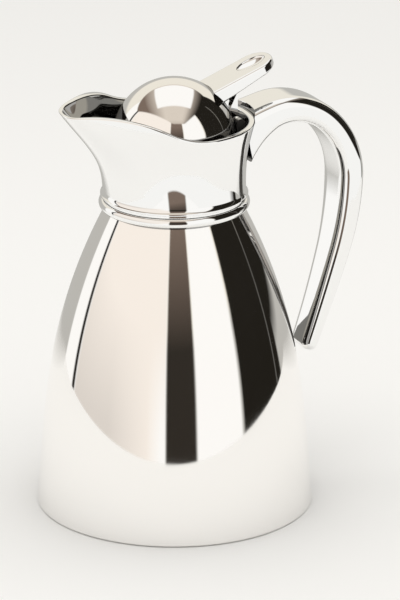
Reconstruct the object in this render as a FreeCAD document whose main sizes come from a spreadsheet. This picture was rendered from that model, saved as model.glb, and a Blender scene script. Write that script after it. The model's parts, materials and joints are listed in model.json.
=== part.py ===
import FreeCAD, Part
import math
import os
import re
import Sketcher
from FreeCAD import Placement, Rotation, Vector

# A polished vacuum jug with a tipping lid, in millimetres.
# +Z is up, +X points to the handle, -X to the spout, and the origin is the centre of the rest plane.

SIZES = [
    # Bell-shaped casing
    ("base_radius", 70.0, "outer radius of the casing at the rest plane"),
    ("foot_gap", 0.6, "height of the casing's lower edge above the rest plane"),
    ("wall_draft", 4.7, "lean of the straight lower wall, degrees"),
    ("straight_height", 46.0, "height where the straight wall turns into the flank"),
    ("shoulder_height", 155.8, "height of the casing's neck flange"),
    ("shoulder_inset", 1.3, "how far the flank's top lies inside the collar's neck"),
    ("shoulder_radius", "=neck_radius - shoulder_inset", "radius of the flank's top"),
    ("flank_step", "=base_radius - straight_height * tan(wall_draft) - shoulder_radius",
     "how far the flank comes in"),
    ("flank_height", "=shoulder_height - straight_height", "height of the flank"),
    ("flank_turn", "=flank_step * cos(wall_draft) - flank_height * sin(wall_draft)",
     "how far the flank's top lies inside the straight wall's line"),
    ("flank_radius", "=(flank_step^2 + flank_height^2) / (2 * flank_turn)",
     "radius of the flank's long curve"),
    ("shell_wall", 1.0, "sheet thickness of the casing"),
    ("hem_width", 4.0, "width of the turned-in lower hem"),
    # Waist ring and collar foot
    ("ring_height", 6.8, "height of the waist ring"),
    ("bead_radius", 2.9, "radius of the ring's bead"),
    ("bead_step", 1.9, "step from the neck out to the bead"),
    ("bead_reach", "=neck_radius + bead_step", "outer radius of the bead"),
    ("land_radius", "=neck_radius", "outer radius of the ring above its bead"),
    ("spigot_inset", 4.7, "step from the neck in to the spigot"),
    ("spigot_radius", "=neck_radius - spigot_inset", "outer radius of the collar's threaded spigot"),
    ("spigot_wall", 2.0, "wall of the spigot"),
    ("spigot_depth", 9.5, "depth of the spigot below the neck flange"),
    ("flange_step", 1.1, "step from the neck out to the foot flange"),
    ("flange_radius", "=neck_radius + flange_step", "outer radius of the collar's foot flange"),
    ("flange_height", 1.0, "height of the collar's foot flange"),
    ("fit_gap", 0.2, "clearance between pieces that slide together"),
    ("nut_wall", 2.2, "wall of the clamping nut"),
    ("nut_radius", "=spigot_radius + nut_wall", "outer radius of the clamping nut"),
    ("nut_height", 6.0, "height of the clamping nut"),
    # Collar sections: height above the ring, half width, reach to the spout, flute beside the spout
    ("neck_rise", 3.4, "height of the neck section above the ring"),
    ("hinge_room", 2.6, "distance from the hinge axis out to the neck's surface"),
    ("neck_radius", "=hinge_reach + hinge_room", "half width of the neck section"),
    ("neck_reach", "=neck_radius", "reach of the neck section"),
    ("neck_flute", 0.0, "flute depth at the neck section"),
    ("waist_rise", 9.4, "height of the waist section above the ring"),
    ("waist_spread", -0.1, "spread of the waist section beyond the neck"),
    ("waist_radius", "=neck_radius + waist_spread", "half width of the waist section"),
    ("waist_pull", 0.6, "pull of the waist section to the spout"),
    ("waist_reach", "=neck_radius + waist_pull", "reach of the waist section"),
    ("waist_flute", 0.0, "flute depth at the waist section"),
    ("throat_rise", 17.4, "height of the throat section above the ring"),
    ("throat_spread", 0.4, "spread of the throat section beyond the neck"),
    ("throat_radius", "=neck_radius + throat_spread", "half width of the throat section"),
    ("throat_pull", 2.9, "pull of the throat section to the spout"),
    ("throat_reach", "=neck_radius + throat_pull", "reach of the throat section"),
    ("throat_flute", 0.6, "flute depth at the throat section"),
    ("breast_rise", 27.4, "height of the breast section above the ring"),
    ("breast_spread", 1.8, "spread of the breast section beyond the neck"),
    ("breast_radius", "=neck_radius + breast_spread", "half width of the breast section"),
    ("breast_pull", 8.6, "pull of the breast section to the spout"),
    ("breast_reach", "=neck_radius + breast_pull", "reach of the breast section"),
    ("breast_flute", 2.2, "flute depth at the breast section"),
    ("brim_rise", 39.4, "height of the brim section above the ring"),
    ("brim_spread", 4.7, "spread of the brim section beyond the neck"),
    ("brim_radius", "=neck_radius + brim_spread", "half width of the brim section"),
    ("brim_pull", 17.8, "pull of the brim section to the spout"),
    ("brim_reach", "=neck_radius + brim_pull", "reach of the brim section"),
    ("brim_flute", 5.5, "flute depth at the brim section"),
    ("crown_rise", 55.4, "height of the crown section above the ring"),
    ("crown_spread", 5.1, "spread of the crown section beyond the neck"),
    ("crown_radius", "=neck_radius + crown_spread", "half width of the crown section"),
    ("crown_pull", 29.1, "pull of the crown section to the spout"),
    ("crown_reach", "=neck_radius + crown_pull", "reach of the crown section"),
    ("crown_flute", 9.0, "flute depth at the crown section"),
    ("collar_wall", 2.0, "wall of the collar"),
    ("lip_width", 3.6, "width of the collar's rim at its sides and rear"),
    ("lip_round", 0.6, "rounding of the rim's edges"),
    ("rim_rise", 38.5, "height of the level rear rim above the ring"),
    ("rim_turn", 2.3, "place along X where the rim starts to climb to the spout"),
    ("rim_valley", 45.0, "radius of the rim's hollow curve"),
    ("rim_climb", 28.0, "steepest climb of the rim, degrees"),
    ("rim_crest", 60.0, "radius of the rim's crest over the spout"),
    # Liner and gaskets
    ("gasket_height", 1.0, "thickness of the liner gasket"),
    ("liner_height", 7.5, "height of the liner above its gasket"),
    ("funnel_inset", 3.3, "distance from the collar's waist in to the funnel's edge"),
    ("funnel_radius", "=waist_radius - funnel_inset", "radius of the funnel's upper edge"),
    ("mouth_inset", 9.4, "distance from the flask's neck in to the liner's bore"),
    ("mouth_radius", "=flask_neck - mouth_inset", "inner radius of the liner's tube"),
    ("mouth_drop", 6.0, "depth of the funnel"),
    ("tube_wall", 1.6, "wall of the liner's tube"),
    ("tube_depth", 15.0, "depth of the liner's tube below its flange"),
    ("neck_gasket_height", 3.0, "thickness of the gasket on the flask"),
    # Vacuum flask
    ("flask_floor", 16.0, "height of the flask's flat bottom"),
    ("flask_inset", 5.0, "distance from the casing's outside to the outer glass"),
    ("glass_wall", 1.6, "wall of the glass"),
    ("vacuum_gap", 3.4, "gap between the two glasses"),
    ("heel_radius", 12.0, "rounding of the flask's lower edge"),
    ("shoulder_drop", 31.8, "depth of the flask's shoulder below the neck flange"),
    ("flask_shoulder", "=shoulder_height - shoulder_drop",
     "height where the outer glass leaves the casing's curve"),
    ("neck_space", 4.2, "distance from the spigot's outside in to the flask's neck"),
    ("flask_neck", "=spigot_radius - neck_space", "outer radius of the flask's neck"),
    ("neck_drop", 4.3, "distance from the spigot's foot down to the start of the flask's neck"),
    ("neck_base", "=shoulder_height - spigot_depth - neck_drop", "height where the flask's neck starts"),
    ("neck_gap", 2.4, "gap between the two glasses in the neck"),
    ("tip_length", 7.0, "length of the seal-off tip"),
    ("tip_radius", 4.0, "radius of the seal-off tip"),
    ("pad_radius", 4.0, "radius of a spacer pad"),
    ("pad_circle", 30.0, "radius of the circle of spacer pads"),
    # Base
    ("thread_inset", 8.0, "distance from the casing's outside in to the base thread"),
    ("thread_bore", "=base_radius - thread_inset", "bore of the base ring's thread"),
    ("base_ring_height", 10.4, "height of the base ring"),
    ("cap_thickness", 3.0, "floor of the base cap"),
    ("cap_skirt", 3.2, "wall of the base cap's threaded skirt"),
    ("cap_height", 9.0, "height of the base cap"),
    ("foot_inset", 5.0, "distance from the base thread in to the rubber foot"),
    ("foot_width", 7.0, "width of the rubber foot's groove"),
    ("foot_outer", "=thread_bore - foot_inset", "outer radius of the rubber foot"),
    ("foot_inner", "=foot_outer - foot_width", "inner radius of the rubber foot"),
    ("foot_groove", 1.0, "depth of the groove for the rubber foot"),
    ("slot_length", 30.0, "length of the base cap's coin slot"),
    ("slot_width", 4.0, "width of the base cap's coin slot"),
    ("cushion_inner", 22.0, "inner radius of the flask cushion"),
    ("cushion_outer", 40.0, "outer radius of the flask cushion"),
    # Handle
    ("handle_sink", 2.9, "depth of the handle's start inside the neck's surface"),
    ("handle_start", "=neck_radius - handle_sink", "place along X where the handle's centre line starts"),
    ("handle_rise", 33.1, "height of that start above the ring"),
    ("handle_lift", 12.8, "climb of the handle's first run, degrees"),
    ("handle_lead", 18.6, "length of the handle's first run"),
    ("crook_radius", 33.9, "radius of the handle's upper bend"),
    ("crook_turn", 57.5, "turn of the upper bend, degrees"),
    ("back_radius", 43.5, "radius of the handle's back"),
    ("back_turn", 46.3, "turn of the back, degrees"),
    ("grip_radius", 152.5, "radius of the grip"),
    ("grip_turn", 15.4, "turn of the grip, degrees"),
    ("tail_radius", 664.0, "radius of the tail"),
    ("tail_turn", 4.5, "turn of the tail, degrees"),
    ("handle_width", 25.0, "width of the handle"),
    ("handle_depth", 12.5, "thickness of the handle"),
    ("handle_round", 4.5, "rounding of the handle's long edges"),
    ("root_spread", 3.0, "spread of the handle's root beyond its width"),
    ("root_width", "=handle_width + root_spread", "width of the handle's root"),
    ("root_growth", 12.0, "growth of the handle's root beyond its thickness"),
    ("root_depth", "=handle_depth + root_growth", "height of the handle's root"),
    ("root_drop", 7.35, "drop of the root's centre below the centre line"),
    ("shank_growth", 2.0, "growth of the shank beyond the handle's thickness"),
    ("shank_depth", "=handle_depth + shank_growth", "thickness of the handle at the end of its first run"),
    ("shank_drop", 1.0, "drop of the shank's centre below the centre line"),
    ("tail_narrowing", 7.6, "narrowing of the handle to its free end"),
    ("tail_width", "=handle_width - tail_narrowing", "width of the handle's free end"),
    ("tail_thinning", 3.7, "thinning of the handle to its free end"),
    ("tail_depth", "=handle_depth - tail_thinning", "thickness of the handle's free end"),
    ("tail_round", 3.6, "rounding of the free end"),
    ("tail_edge", 4.0, "rounding of the free end's long edges"),
    ("lower_narrowing", 4.6, "narrowing of the handle where its tail starts"),
    ("lower_width", "=handle_width - lower_narrowing", "width of the handle where its tail starts"),
    ("lower_thinning", 1.1, "thinning of the handle where its tail starts"),
    ("lower_depth", "=handle_depth - lower_thinning", "thickness of the handle where its tail starts"),
    # Hinge
    ("hinge_reach", 33.3, "distance of the hinge axis from the jug's axis"),
    ("hinge_rise", 33.9, "height of the hinge axis above the ring"),
    ("pin_radius", 1.25, "radius of the hinge pin"),
    ("pin_fit", 0.02, "clearance of the pin in the bracket"),
    ("running_fit", 0.05, "clearance of the pin in the lever"),
    ("barrel_radius", 2.4, "radius of the lever's barrel"),
    ("barrel_half", 5.0, "half length of the barrel"),
    ("ear_gap", 0.3, "gap between the barrel and an ear"),
    ("ear_width", 2.5, "thickness of an ear"),
    ("ear_radius", 2.4, "radius of an ear about the pin"),
    ("plate_set", 0.4, "distance of the bracket plate's inner face behind the hinge axis"),
    ("plate_face", "=hinge_reach + plate_set",
     "distance of the bracket plate's inner face from the jug's axis"),
    ("plate_drop", 13.0, "depth of the plate below the hinge axis"),
    ("plate_top", 3.2, "depth of the plate's upper edge below the hinge axis"),
    # Lid
    ("dome_rise", 28.9, "height of the dome's centre above the ring"),
    ("dome_clear", 2.5, "distance from the dome to the hinge axis"),
    ("dome_radius", "=hinge_reach - dome_clear", "outer radius of the dome"),
    ("dome_wall", 1.0, "sheet thickness of the dome"),
    ("dome_skirt", 3.5, "straight edge below the half ball"),
    ("core_gap", 0.3, "gap between dome and core"),
    ("core_wall", 3.0, "wall of the lid core"),
    ("core_flange", 2.0, "height of the flange that carries the dome"),
    ("core_step", 2.2, "step from the dome in to the core's lower edge"),
    ("core_foot", "=dome_radius - core_step", "radius of the core's lower edge"),
    ("core_ring", 6.0, "height of the core's lower ring"),
    ("screw_land", 4.5, "width of the core's ring inside the lid screws"),
    ("core_mouth", "=screw_circle - screw_land", "inner radius of the core's lower ring"),
    ("seal_gap", 0.35, "gap between the seal and the funnel at rest"),
    ("seal_step", 2.3, "step from the dome in to the seal"),
    ("seal_radius", "=dome_radius - seal_step", "outer radius of the seal"),
    ("seal_cone", 2.7, "width of the seal's cone"),
    ("seal_land", "=seal_radius - seal_cone", "radius where the seal's cone starts"),
    ("seal_width", 6.8, "width of the seal"),
    ("seal_bore", "=seal_radius - seal_width", "inner radius of the seal"),
    ("seal_height", 3.35, "height of the seal"),
    ("plate_step", 0.8, "step from the seal's cone in to the lid plate"),
    ("plate_radius", "=seal_land - plate_step", "upper radius of the lid plate"),
    ("plate_taper", 6.0, "taper of the lid plate"),
    ("plate_foot", "=plate_radius - plate_taper", "lower radius of the lid plate"),
    ("plate_height", 2.55, "height of the lid plate below the seal"),
    ("screw_inset", 3.5, "distance from the lid plate's lower edge in to its screws"),
    ("screw_circle", "=plate_foot - screw_inset", "radius of the circle of lid screws"),
    # Thumb lever
    ("tongue_reach", 19.3, "reach of the lever's tip behind the hinge axis"),
    ("tongue_tip", "=hinge_reach + tongue_reach", "distance of the lever's tip from the jug's axis"),
    ("tongue_rise", 66.0, "height of the lever's tip above the ring"),
    ("tongue_slope", 20.4, "climb of the lever's top, degrees"),
    ("tongue_run", 38.0, "length of the lever's top along X"),
    ("tongue_edge", 4.2, "thickness of the lever's tip"),
    ("tongue_belly", 26.4, "climb of the lever's underside, degrees"),
    ("tongue_width", 20.0, "width of the lever"),
    ("tongue_round", 1.2, "rounding of the lever's edges"),
    ("block_set", 1.7, "distance of the lever block's back in front of the hinge axis"),
    ("block_back", "=hinge_reach - block_set", "distance of the lever block's back from the jug's axis"),
    ("block_half", 7.5, "half width of the lever block"),
    ("block_clear", 1.6, "gap between the lever block and an ear"),
    ("seat_gap", 0.1, "gap between the lever and the dome"),
    ("dimple_length", 16.0, "length of the thumb dimple"),
    ("dimple_width", 10.0, "width of the thumb dimple"),
    ("dimple_depth", 1.0, "depth of the thumb dimple"),
    ("dimple_place", 11.0, "distance of the dimple's centre from the lever's tip"),
    # Screws
    ("shank_radius", 1.5, "radius of a screw's shank"),
    ("screw_gap", 0.1, "clearance round a screw's shank"),
    ("head_radius", 2.2, "radius of a screw's head"),
    ("head_height", 1.7, "height of a screw's head"),
    ("socket_radius", 1.2, "corner radius of a screw's hexagon socket"),
    ("socket_depth", 1.0, "depth of a screw's hexagon socket"),
    ("head_gap", 0.3, "clearance round a screw's head"),
    ("handle_screw_length", 10.0, "length of a handle screw's shank"),
    ("handle_screw_place", 3.0, "distance of a handle screw from the middle plane"),
    ("handle_screw_drop", 6.0, "depth of the handle screws below the hinge axis"),
    ("lever_screw_length", 8.5, "length of a lever screw's shank"),
    ("lever_screw_place", 5.0, "distance of a lever screw from the middle plane"),
    ("lever_screw_rise", 15.5, "height of the lever screws above the dome's centre"),
    ("lever_screw_inset", 8.8, "distance from the dome in to the lever screws' seat"),
    ("lever_screw_seat", "=dome_radius - lever_screw_inset",
     "distance of the lever screws' seat from the jug's axis"),
    ("lid_screw_length", 8.5, "length of a lid screw's shank"),
]

SECTION_POINTS = 48
FLUTE_SCALE = 9.48
LID_SCREWS = 3
SPACER_PADS = 3
SOCKET_SIDES = 6
SEAM_TURN = math.pi / 3
LIP_SHARE = 0.35
TOUCH = 0.05

doc = FreeCAD.newDocument("vacuum_jug")
sheet = doc.addObject("Spreadsheet::Sheet", "sizes")
for row, (name, value, meaning) in enumerate(SIZES, start=1):
    sheet.set(f"A{row}", meaning)
    sheet.setAlias(f"B{row}", name)
for row, (name, value, meaning) in enumerate(SIZES, start=1):
    sheet.set(f"B{row}", str(value))
doc.recompute()

ALIASES = {name for name, value, meaning in SIZES}
nodes = []


# Sizes and expressions

def bound(text):
    """The expression with each size name pointing to its cell."""
    def full_name(match):
        word = match.group()
        return f"sizes.{word}" if word in ALIASES else word
    return re.sub(r"[a-z][a-z_]*", full_name, text)


def number(text):
    """The present value of an expression of sizes."""
    result = sheet.evalExpression(bound(text))
    return float(getattr(result, "Value", result))


def bell_foot(height, inset):
    """Radius of the straight lower wall at a height, moved inwards by an inset."""
    return f"(base_radius - ({height}) * tan(wall_draft) - ({inset}) / cos(wall_draft))"


FLANK_AXIS = "(base_radius - straight_height * tan(wall_draft) - flank_radius * cos(wall_draft))"
FLANK_LEVEL = "(straight_height - flank_radius * sin(wall_draft))"


def bell_flank(height, inset):
    """Radius of the long curve at a height, moved inwards by an inset."""
    return f"({FLANK_AXIS} + sqrt((flank_radius - ({inset}))^2 - (({height}) - {FLANK_LEVEL})^2))"


def bell_turn(inset):
    """Height where the straight wall meets the long curve, moved inwards by an inset."""
    return f"(straight_height - ({inset}) * sin(wall_draft))"


RING_TOP = "(shoulder_height + ring_height)"
LEDGE = f"({RING_TOP} + neck_rise)"
LINER_FOOT = f"({LEDGE} + gasket_height)"
LINER_TOP = f"({LINER_FOOT} + liner_height)"
MOUTH_TOP = f"({LINER_TOP} - mouth_drop)"
LIP_TOP = f"({LINER_FOOT} - neck_gasket_height)"
HINGE_LEVEL = f"({RING_TOP} + hinge_rise)"
DOME_LEVEL = f"({RING_TOP} + dome_rise)"
DOME_EDGE = f"({DOME_LEVEL} - dome_skirt)"
CAP_FOOT = "(foot_gap + shell_wall)"
CAP_FLOOR = f"({CAP_FOOT} + cap_thickness)"


def funnel_level(radius):
    """Height of the funnel's surface at a radius."""
    slope = "mouth_drop / (funnel_radius - mouth_radius)"
    return f"({MOUTH_TOP} + ({radius} - mouth_radius) * {slope})"


SEAL_FOOT = f"({funnel_level('seal_land')} + seal_gap)"
SEAL_TOP = f"({SEAL_FOOT} + seal_height)"
CORE_RING_TOP = f"({SEAL_TOP} + core_ring)"
PLATE_FOOT = f"({SEAL_FOOT} - plate_height)"
SCREW_SEAT = f"({PLATE_FOOT} + head_height)"


# Sketches and features

def new_body(label):
    """A named body, which becomes a node."""
    body = doc.addObject("PartDesign::Body", label)
    body.Label = label
    nodes.append(body)
    return body


def new_sketch(body, name, role, offset="0"):
    """A sketch on one of the body's own planes, moved along the plane's normal."""
    sketch = body.newObject("Sketcher::SketchObject", name)
    plane = next(feature for feature in body.Origin.OriginFeatures if feature.Role == role)
    sketch.AttachmentSupport = [(plane, "")]
    sketch.MapMode = "FlatFace"
    sketch.setExpression("AttachmentOffset.Base.z", bound(offset))
    return sketch


def pin_point(sketch, geometry, position, across, along):
    """Tie a point of the sketch to its place."""
    for kind, text, axis in (("DistanceX", across, -2), ("DistanceY", along, -1)):
        if text == "0":
            sketch.addConstraint(Sketcher.Constraint("PointOnObject", geometry, position, axis))
            continue
        index = sketch.addConstraint(Sketcher.Constraint(kind, -1, 1, geometry, position, number(text)))
        sketch.setExpression(f"Constraints[{index}]", bound(text))


def arc_between(start, end, radius, turn):
    """An arc of less than half a circle; a turn of 1 is anticlockwise."""
    chord = end - start
    rise = math.sqrt(max(radius ** 2 - chord.Length ** 2 / 4, 0.0))
    left = Vector(-chord.y, chord.x, 0) / chord.Length
    centre = (start + end) / 2 + left * rise * turn
    first, last = (start, end) if turn > 0 else (end, start)
    begin = math.atan2(first.y - centre.y, first.x - centre.x)
    finish = math.atan2(last.y - centre.y, last.x - centre.x)
    if finish < begin:
        finish += 2 * math.pi
    return Part.ArcOfCircle(Part.Circle(centre, Vector(0, 0, 1), radius), begin, finish)


def draw_outline(sketch, corners, arcs=None):
    """A closed outline; arcs gives the radius and the turn of each side that isn't straight."""
    arcs = arcs or {}
    places = [Vector(number(across), number(along), 0) for across, along in corners]
    ends = []
    for side, start in enumerate(places):
        end = places[(side + 1) % len(places)]
        if side in arcs:
            radius, turn = arcs[side]
            geometry = sketch.addGeometry(arc_between(start, end, number(radius), turn))
            ends.append((geometry, 1, 2) if turn > 0 else (geometry, 2, 1))
        else:
            geometry = sketch.addGeometry(Part.LineSegment(start, end))
            ends.append((geometry, 1, 2))
    for side, (geometry, first, last) in enumerate(ends):
        following, start, _ = ends[(side + 1) % len(ends)]
        sketch.addConstraint(Sketcher.Constraint("Coincident", geometry, last, following, start))
    for (geometry, first, _), (across, along) in zip(ends, corners):
        pin_point(sketch, geometry, first, across, along)
    for side, (radius, _) in arcs.items():
        index = sketch.addConstraint(Sketcher.Constraint("Radius", ends[side][0], number(radius)))
        sketch.setExpression(f"Constraints[{index}]", bound(radius))
    return sketch


def draw_circle(sketch, across, along, radius):
    """A circle tied to its centre and radius."""
    centre = Vector(number(across), number(along), 0)
    geometry = sketch.addGeometry(Part.Circle(centre, Vector(0, 0, 1), number(radius)))
    pin_point(sketch, geometry, 3, across, along)
    index = sketch.addConstraint(Sketcher.Constraint("Radius", geometry, number(radius)))
    sketch.setExpression(f"Constraints[{index}]", bound(radius))
    return sketch


def revolve(body, name, corners, arcs=None, kind="Revolution"):
    """Turn an outline of radius and height about the jug's axis."""
    sketch = draw_outline(new_sketch(body, f"{name}_outline", "XZ_Plane"), corners, arcs)
    feature = body.newObject(f"PartDesign::{kind}", name)
    feature.Profile = sketch
    feature.ReferenceAxis = (sketch, ["V_Axis"])
    feature.Angle = 360
    doc.recompute()
    return feature


def pad(body, name, sketch, length, symmetric=False, reverse=False):
    """Raise a sketch by a length."""
    feature = body.newObject("PartDesign::Pad", name)
    feature.Profile = sketch
    feature.SideType = "Symmetric" if symmetric else "One side"
    feature.Reversed = reverse
    feature.setExpression("Length", bound(length))
    doc.recompute()
    return feature


def pocket(body, name, sketch, length, symmetric=False, reverse=False):
    """Cut a sketch into the body, and refuse a cut that removes nothing."""
    doc.recompute()
    before = body.Shape.Volume
    feature = body.newObject("PartDesign::Pocket", name)
    feature.Profile = sketch
    feature.SideType = "Symmetric" if symmetric else "One side"
    feature.Reversed = reverse
    feature.setExpression("Length", bound(length))
    doc.recompute()
    if body.Shape.Volume >= before - 1e-6:
        raise RuntimeError(f"{name} removes nothing")
    return feature


def drill(body, name, places, radius, start, length, inward=False):
    """Straight holes along X from a plane, away from the jug's axis or towards it."""
    sketch = new_sketch(body, f"{name}_outline", "YZ_Plane", start)
    for across, level in places:
        draw_circle(sketch, across, level, radius)
    return pocket(body, name, sketch, length, reverse=not inward)


def cut_ball(body, name, radius):
    """Cut a ball about the dome's centre out of the body."""
    ball = body.newObject("PartDesign::SubtractiveSphere", name)
    ball.setExpression("Radius", bound(radius))
    ball.setExpression("AttachmentOffset.Base.z", bound(DOME_LEVEL))
    plane = next(feature for feature in body.Origin.OriginFeatures if feature.Role == "XY_Plane")
    ball.AttachmentSupport = [(plane, "")]
    ball.MapMode = "FlatFace"
    doc.recompute()
    return ball


def round_edges(body, name, base, edges, radius):
    """Round the listed edges of a feature."""
    feature = body.newObject("PartDesign::Fillet", name)
    feature.Base = (base, edges)
    feature.setExpression("Radius", bound(radius))
    doc.recompute()
    return feature


def ring_body(label, inner, outer, foot, top):
    """A plain ring between two radii and two heights."""
    body = new_body(label)
    revolve(body, f"{label}_turn", [(inner, foot), (outer, foot), (outer, top), (inner, top)])
    return body


def polar_copies(body, name, feature, count):
    """Copies of a feature in a circle about the jug's axis."""
    pattern = body.newObject("PartDesign::PolarPattern", name)
    pattern.Originals = [feature]
    pattern.Axis = (feature.Profile[0], ["N_Axis"])
    pattern.Angle = 360
    pattern.Occurrences = count
    body.Tip = pattern
    doc.recompute()
    return pattern


# Casing and waist ring

def make_outer_shell():
    """Bell of sheet steel with a neck flange and a turned-in hem."""
    body = new_body("outer_shell")
    flange_foot = "shoulder_height - shell_wall"
    hem_top = CAP_FOOT
    hem_inner = f"{bell_foot(hem_top, 'shell_wall')} - hem_width"
    bore = "spigot_radius + fit_gap"
    corners = [
        (bell_foot("foot_gap", "0"), "foot_gap"),
        (bell_foot("straight_height", "0"), "straight_height"),
        (bell_flank("shoulder_height", "0"), "shoulder_height"),
        (bore, "shoulder_height"),
        (bore, flange_foot),
        (bell_flank(flange_foot, "shell_wall"), flange_foot),
        (bell_foot(bell_turn("shell_wall"), "shell_wall"), bell_turn("shell_wall")),
        (bell_foot(hem_top, "shell_wall"), hem_top),
        (hem_inner, hem_top),
        (hem_inner, "foot_gap"),
    ]
    revolve(body, "bell", corners, {1: ("flank_radius", 1), 5: ("flank_radius - shell_wall", -1)})
    return body


def make_waist_ring():
    """Bead with a narrow land above it, on the neck flange."""
    body = new_body("waist_ring")
    bead_centre = "(bead_reach - bead_radius)"
    middle = "(shoulder_height + bead_radius)"
    land_foot = f"({middle} + sqrt(bead_radius^2 - (land_radius - {bead_centre})^2))"
    bore = "spigot_radius + fit_gap"
    corners = [
        (bore, "shoulder_height"),
        (bead_centre, "shoulder_height"),
        ("bead_reach", middle),
        ("land_radius", land_foot),
        ("land_radius", RING_TOP),
        (bore, RING_TOP),
    ]
    revolve(body, "bead", corners, {1: ("bead_radius", 1), 2: ("bead_radius", 1)})
    return body


# Pouring collar

def collar_section(level, side, front):
    """Closed outline of the collar at one level; side and front move its wall outwards."""
    radius = number(f"{level}_radius") + side
    reach = number(f"{level}_reach") + front
    flute = number(f"{level}_flute") * FLUTE_SCALE
    height = number(f"{RING_TOP} + {level}_rise")
    points = []
    for step in range(SECTION_POINTS):
        angle = 2 * math.pi * step / SECTION_POINTS + SEAM_TURN
        share = max(-math.cos(angle), 0.0)
        length = reach if share > 0 else radius
        pinch = math.copysign(flute * share ** 3 * (1 - share), math.sin(angle))
        points.append(Vector(length * math.cos(angle), radius * math.sin(angle) - pinch, height))
    curve = Part.BSplineCurve()
    curve.interpolate(Points=points, PeriodicFlag=True)
    return Part.Wire([curve.toShape()])


def collar_form(name, wall, lip):
    """The collar's outside, moved inwards by a wall and, towards the rim, by a lip."""
    insets = {"neck": wall, "waist": wall, "throat": wall, "breast": wall, "brim": lip, "crown": lip}
    sections = [collar_section(level, -inset, -wall) for level, inset in insets.items()]
    form = doc.addObject("Part::Feature", name)
    form.Shape = Part.makeLoft(sections, True, False)
    return form


def make_collar_foot():
    """Spigot, foot flange and cove below the lofted collar."""
    body = doc.addObject("PartDesign::Body", "collar_foot")
    flange_top = f"({RING_TOP} + flange_height)"
    bore = "spigot_radius - spigot_wall"
    foot = "shoulder_height - spigot_depth"
    step = "(flange_radius - neck_radius)"
    climb = "(neck_rise - flange_height)"
    cove = f"({step}^2 + {climb}^2) / (2 * {step})"
    corners = [
        (bore, foot),
        ("spigot_radius", foot),
        ("spigot_radius", RING_TOP),
        ("flange_radius", RING_TOP),
        ("flange_radius", flange_top),
        ("neck_radius", LEDGE),
        (bore, LEDGE),
    ]
    revolve(body, "foot_turn", corners, {4: (cove, -1)})
    return body


def make_rim_cutter():
    """Everything above the rim line, right across the collar."""
    body = doc.addObject("PartDesign::Body", "rim_cutter")
    level = f"({RING_TOP} + rim_rise)"
    climb_foot = "(rim_turn - rim_valley * sin(rim_climb))"
    climb_level = f"({level} + rim_valley * (1 - cos(rim_climb)))"
    crest = f"({climb_foot} - rim_crest * sin(rim_climb))"
    crest_level = f"({climb_level} + rim_crest * (1 - cos(rim_climb)))"
    fall = f"({crest} - rim_crest * sin(rim_climb))"
    top = f"({RING_TOP} + crown_rise + rim_rise)"
    rear = "(2 * crown_reach)"
    corners = [
        (rear, level),
        (rear, top),
        (fall, top),
        (fall, climb_level),
        (crest, crest_level),
        (climb_foot, climb_level),
        ("rim_turn", level),
    ]
    arcs = {3: ("rim_crest", -1), 4: ("rim_crest", -1), 5: ("rim_valley", 1)}
    sketch = draw_outline(new_sketch(body, "rim_line", "XZ_Plane"), corners, arcs)
    pad(body, "rim_block", sketch, "4 * crown_radius", symmetric=True)
    return body


def screw_holes(name, places, radius, start, length):
    """Straight holes along X for a set of screws, as one cutting solid."""
    holes = []
    for side, (across, level) in enumerate(places):
        hole = doc.addObject("Part::Cylinder", f"{name}_{side}")
        hole.setExpression("Radius", bound(radius))
        hole.setExpression("Height", bound(length))
        hole.Placement = Placement(Vector(), Rotation(Vector(0, 1, 0), 90))
        hole.setExpression("Placement.Base.x", bound(start))
        hole.setExpression("Placement.Base.y", bound(across))
        hole.setExpression("Placement.Base.z", bound(level))
        holes.append(hole)
    group = doc.addObject("Part::Compound", name)
    group.Links = holes
    doc.recompute()
    return group


def cut(label, base, tool, node=True):
    """One solid less another."""
    result = doc.addObject("Part::Cut", label)
    result.Label = label
    result.Base = base
    result.Tool = tool
    doc.recompute()
    if node:
        nodes.append(result)
    return result


HANDLE_SCREW_LEVEL = f"({HINGE_LEVEL} - handle_screw_drop)"
HANDLE_SCREWS = [("handle_screw_place", HANDLE_SCREW_LEVEL), ("-handle_screw_place", HANDLE_SCREW_LEVEL)]
LEVER_SCREW_LEVEL = f"({DOME_LEVEL} + lever_screw_rise)"
LEVER_SCREWS = [("lever_screw_place", LEVER_SCREW_LEVEL), ("-lever_screw_place", LEVER_SCREW_LEVEL)]


def make_pouring_collar():
    """Lofted collar, hollow, cut along its rim line, with rounded rim edges."""
    outside = collar_form("collar_outside", 0.0, 0.0)
    inside = collar_form("collar_inside", number("collar_wall"), number("lip_width"))
    wall = cut("collar_shell", outside, inside, node=False)
    trimmed = cut("collar_trimmed", wall, make_rim_cutter(), node=False)
    level = number(f"{RING_TOP} + rim_rise")
    least = number("lip_width") * 2
    rounding = min(number("lip_round"), number("collar_wall") * LIP_SHARE)
    rim = [
        (index, rounding, rounding)
        for index, edge in enumerate(trimmed.Shape.Edges, start=1)
        if edge.BoundBox.ZMin > level - TOUCH and edge.Length > least
    ]
    rounded = doc.addObject("Part::Fillet", "collar_rounded")
    rounded.Base = trimmed
    rounded.Edges = rim
    doc.recompute()
    joined = doc.addObject("Part::Fuse", "collar_joined")
    joined.Base = rounded
    joined.Tool = make_collar_foot()
    doc.recompute()
    bore = "shank_radius + screw_gap"
    holes = screw_holes("collar_holes", HANDLE_SCREWS, bore, "plate_face", "2 * lip_width")
    return cut("pouring_collar", joined, holes)


def make_collar_nut():
    """Ring that clamps the collar's spigot under the neck flange."""
    flange_foot = "shoulder_height - shell_wall"
    inside = "spigot_radius + fit_gap"
    return ring_body("collar_nut", inside, "nut_radius", f"{flange_foot} - nut_height", flange_foot)


# Liner and gaskets

LINER_RADIUS = "(waist_radius - collar_wall - fit_gap)"
TUBE_RADIUS = "(mouth_radius + tube_wall)"


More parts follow.
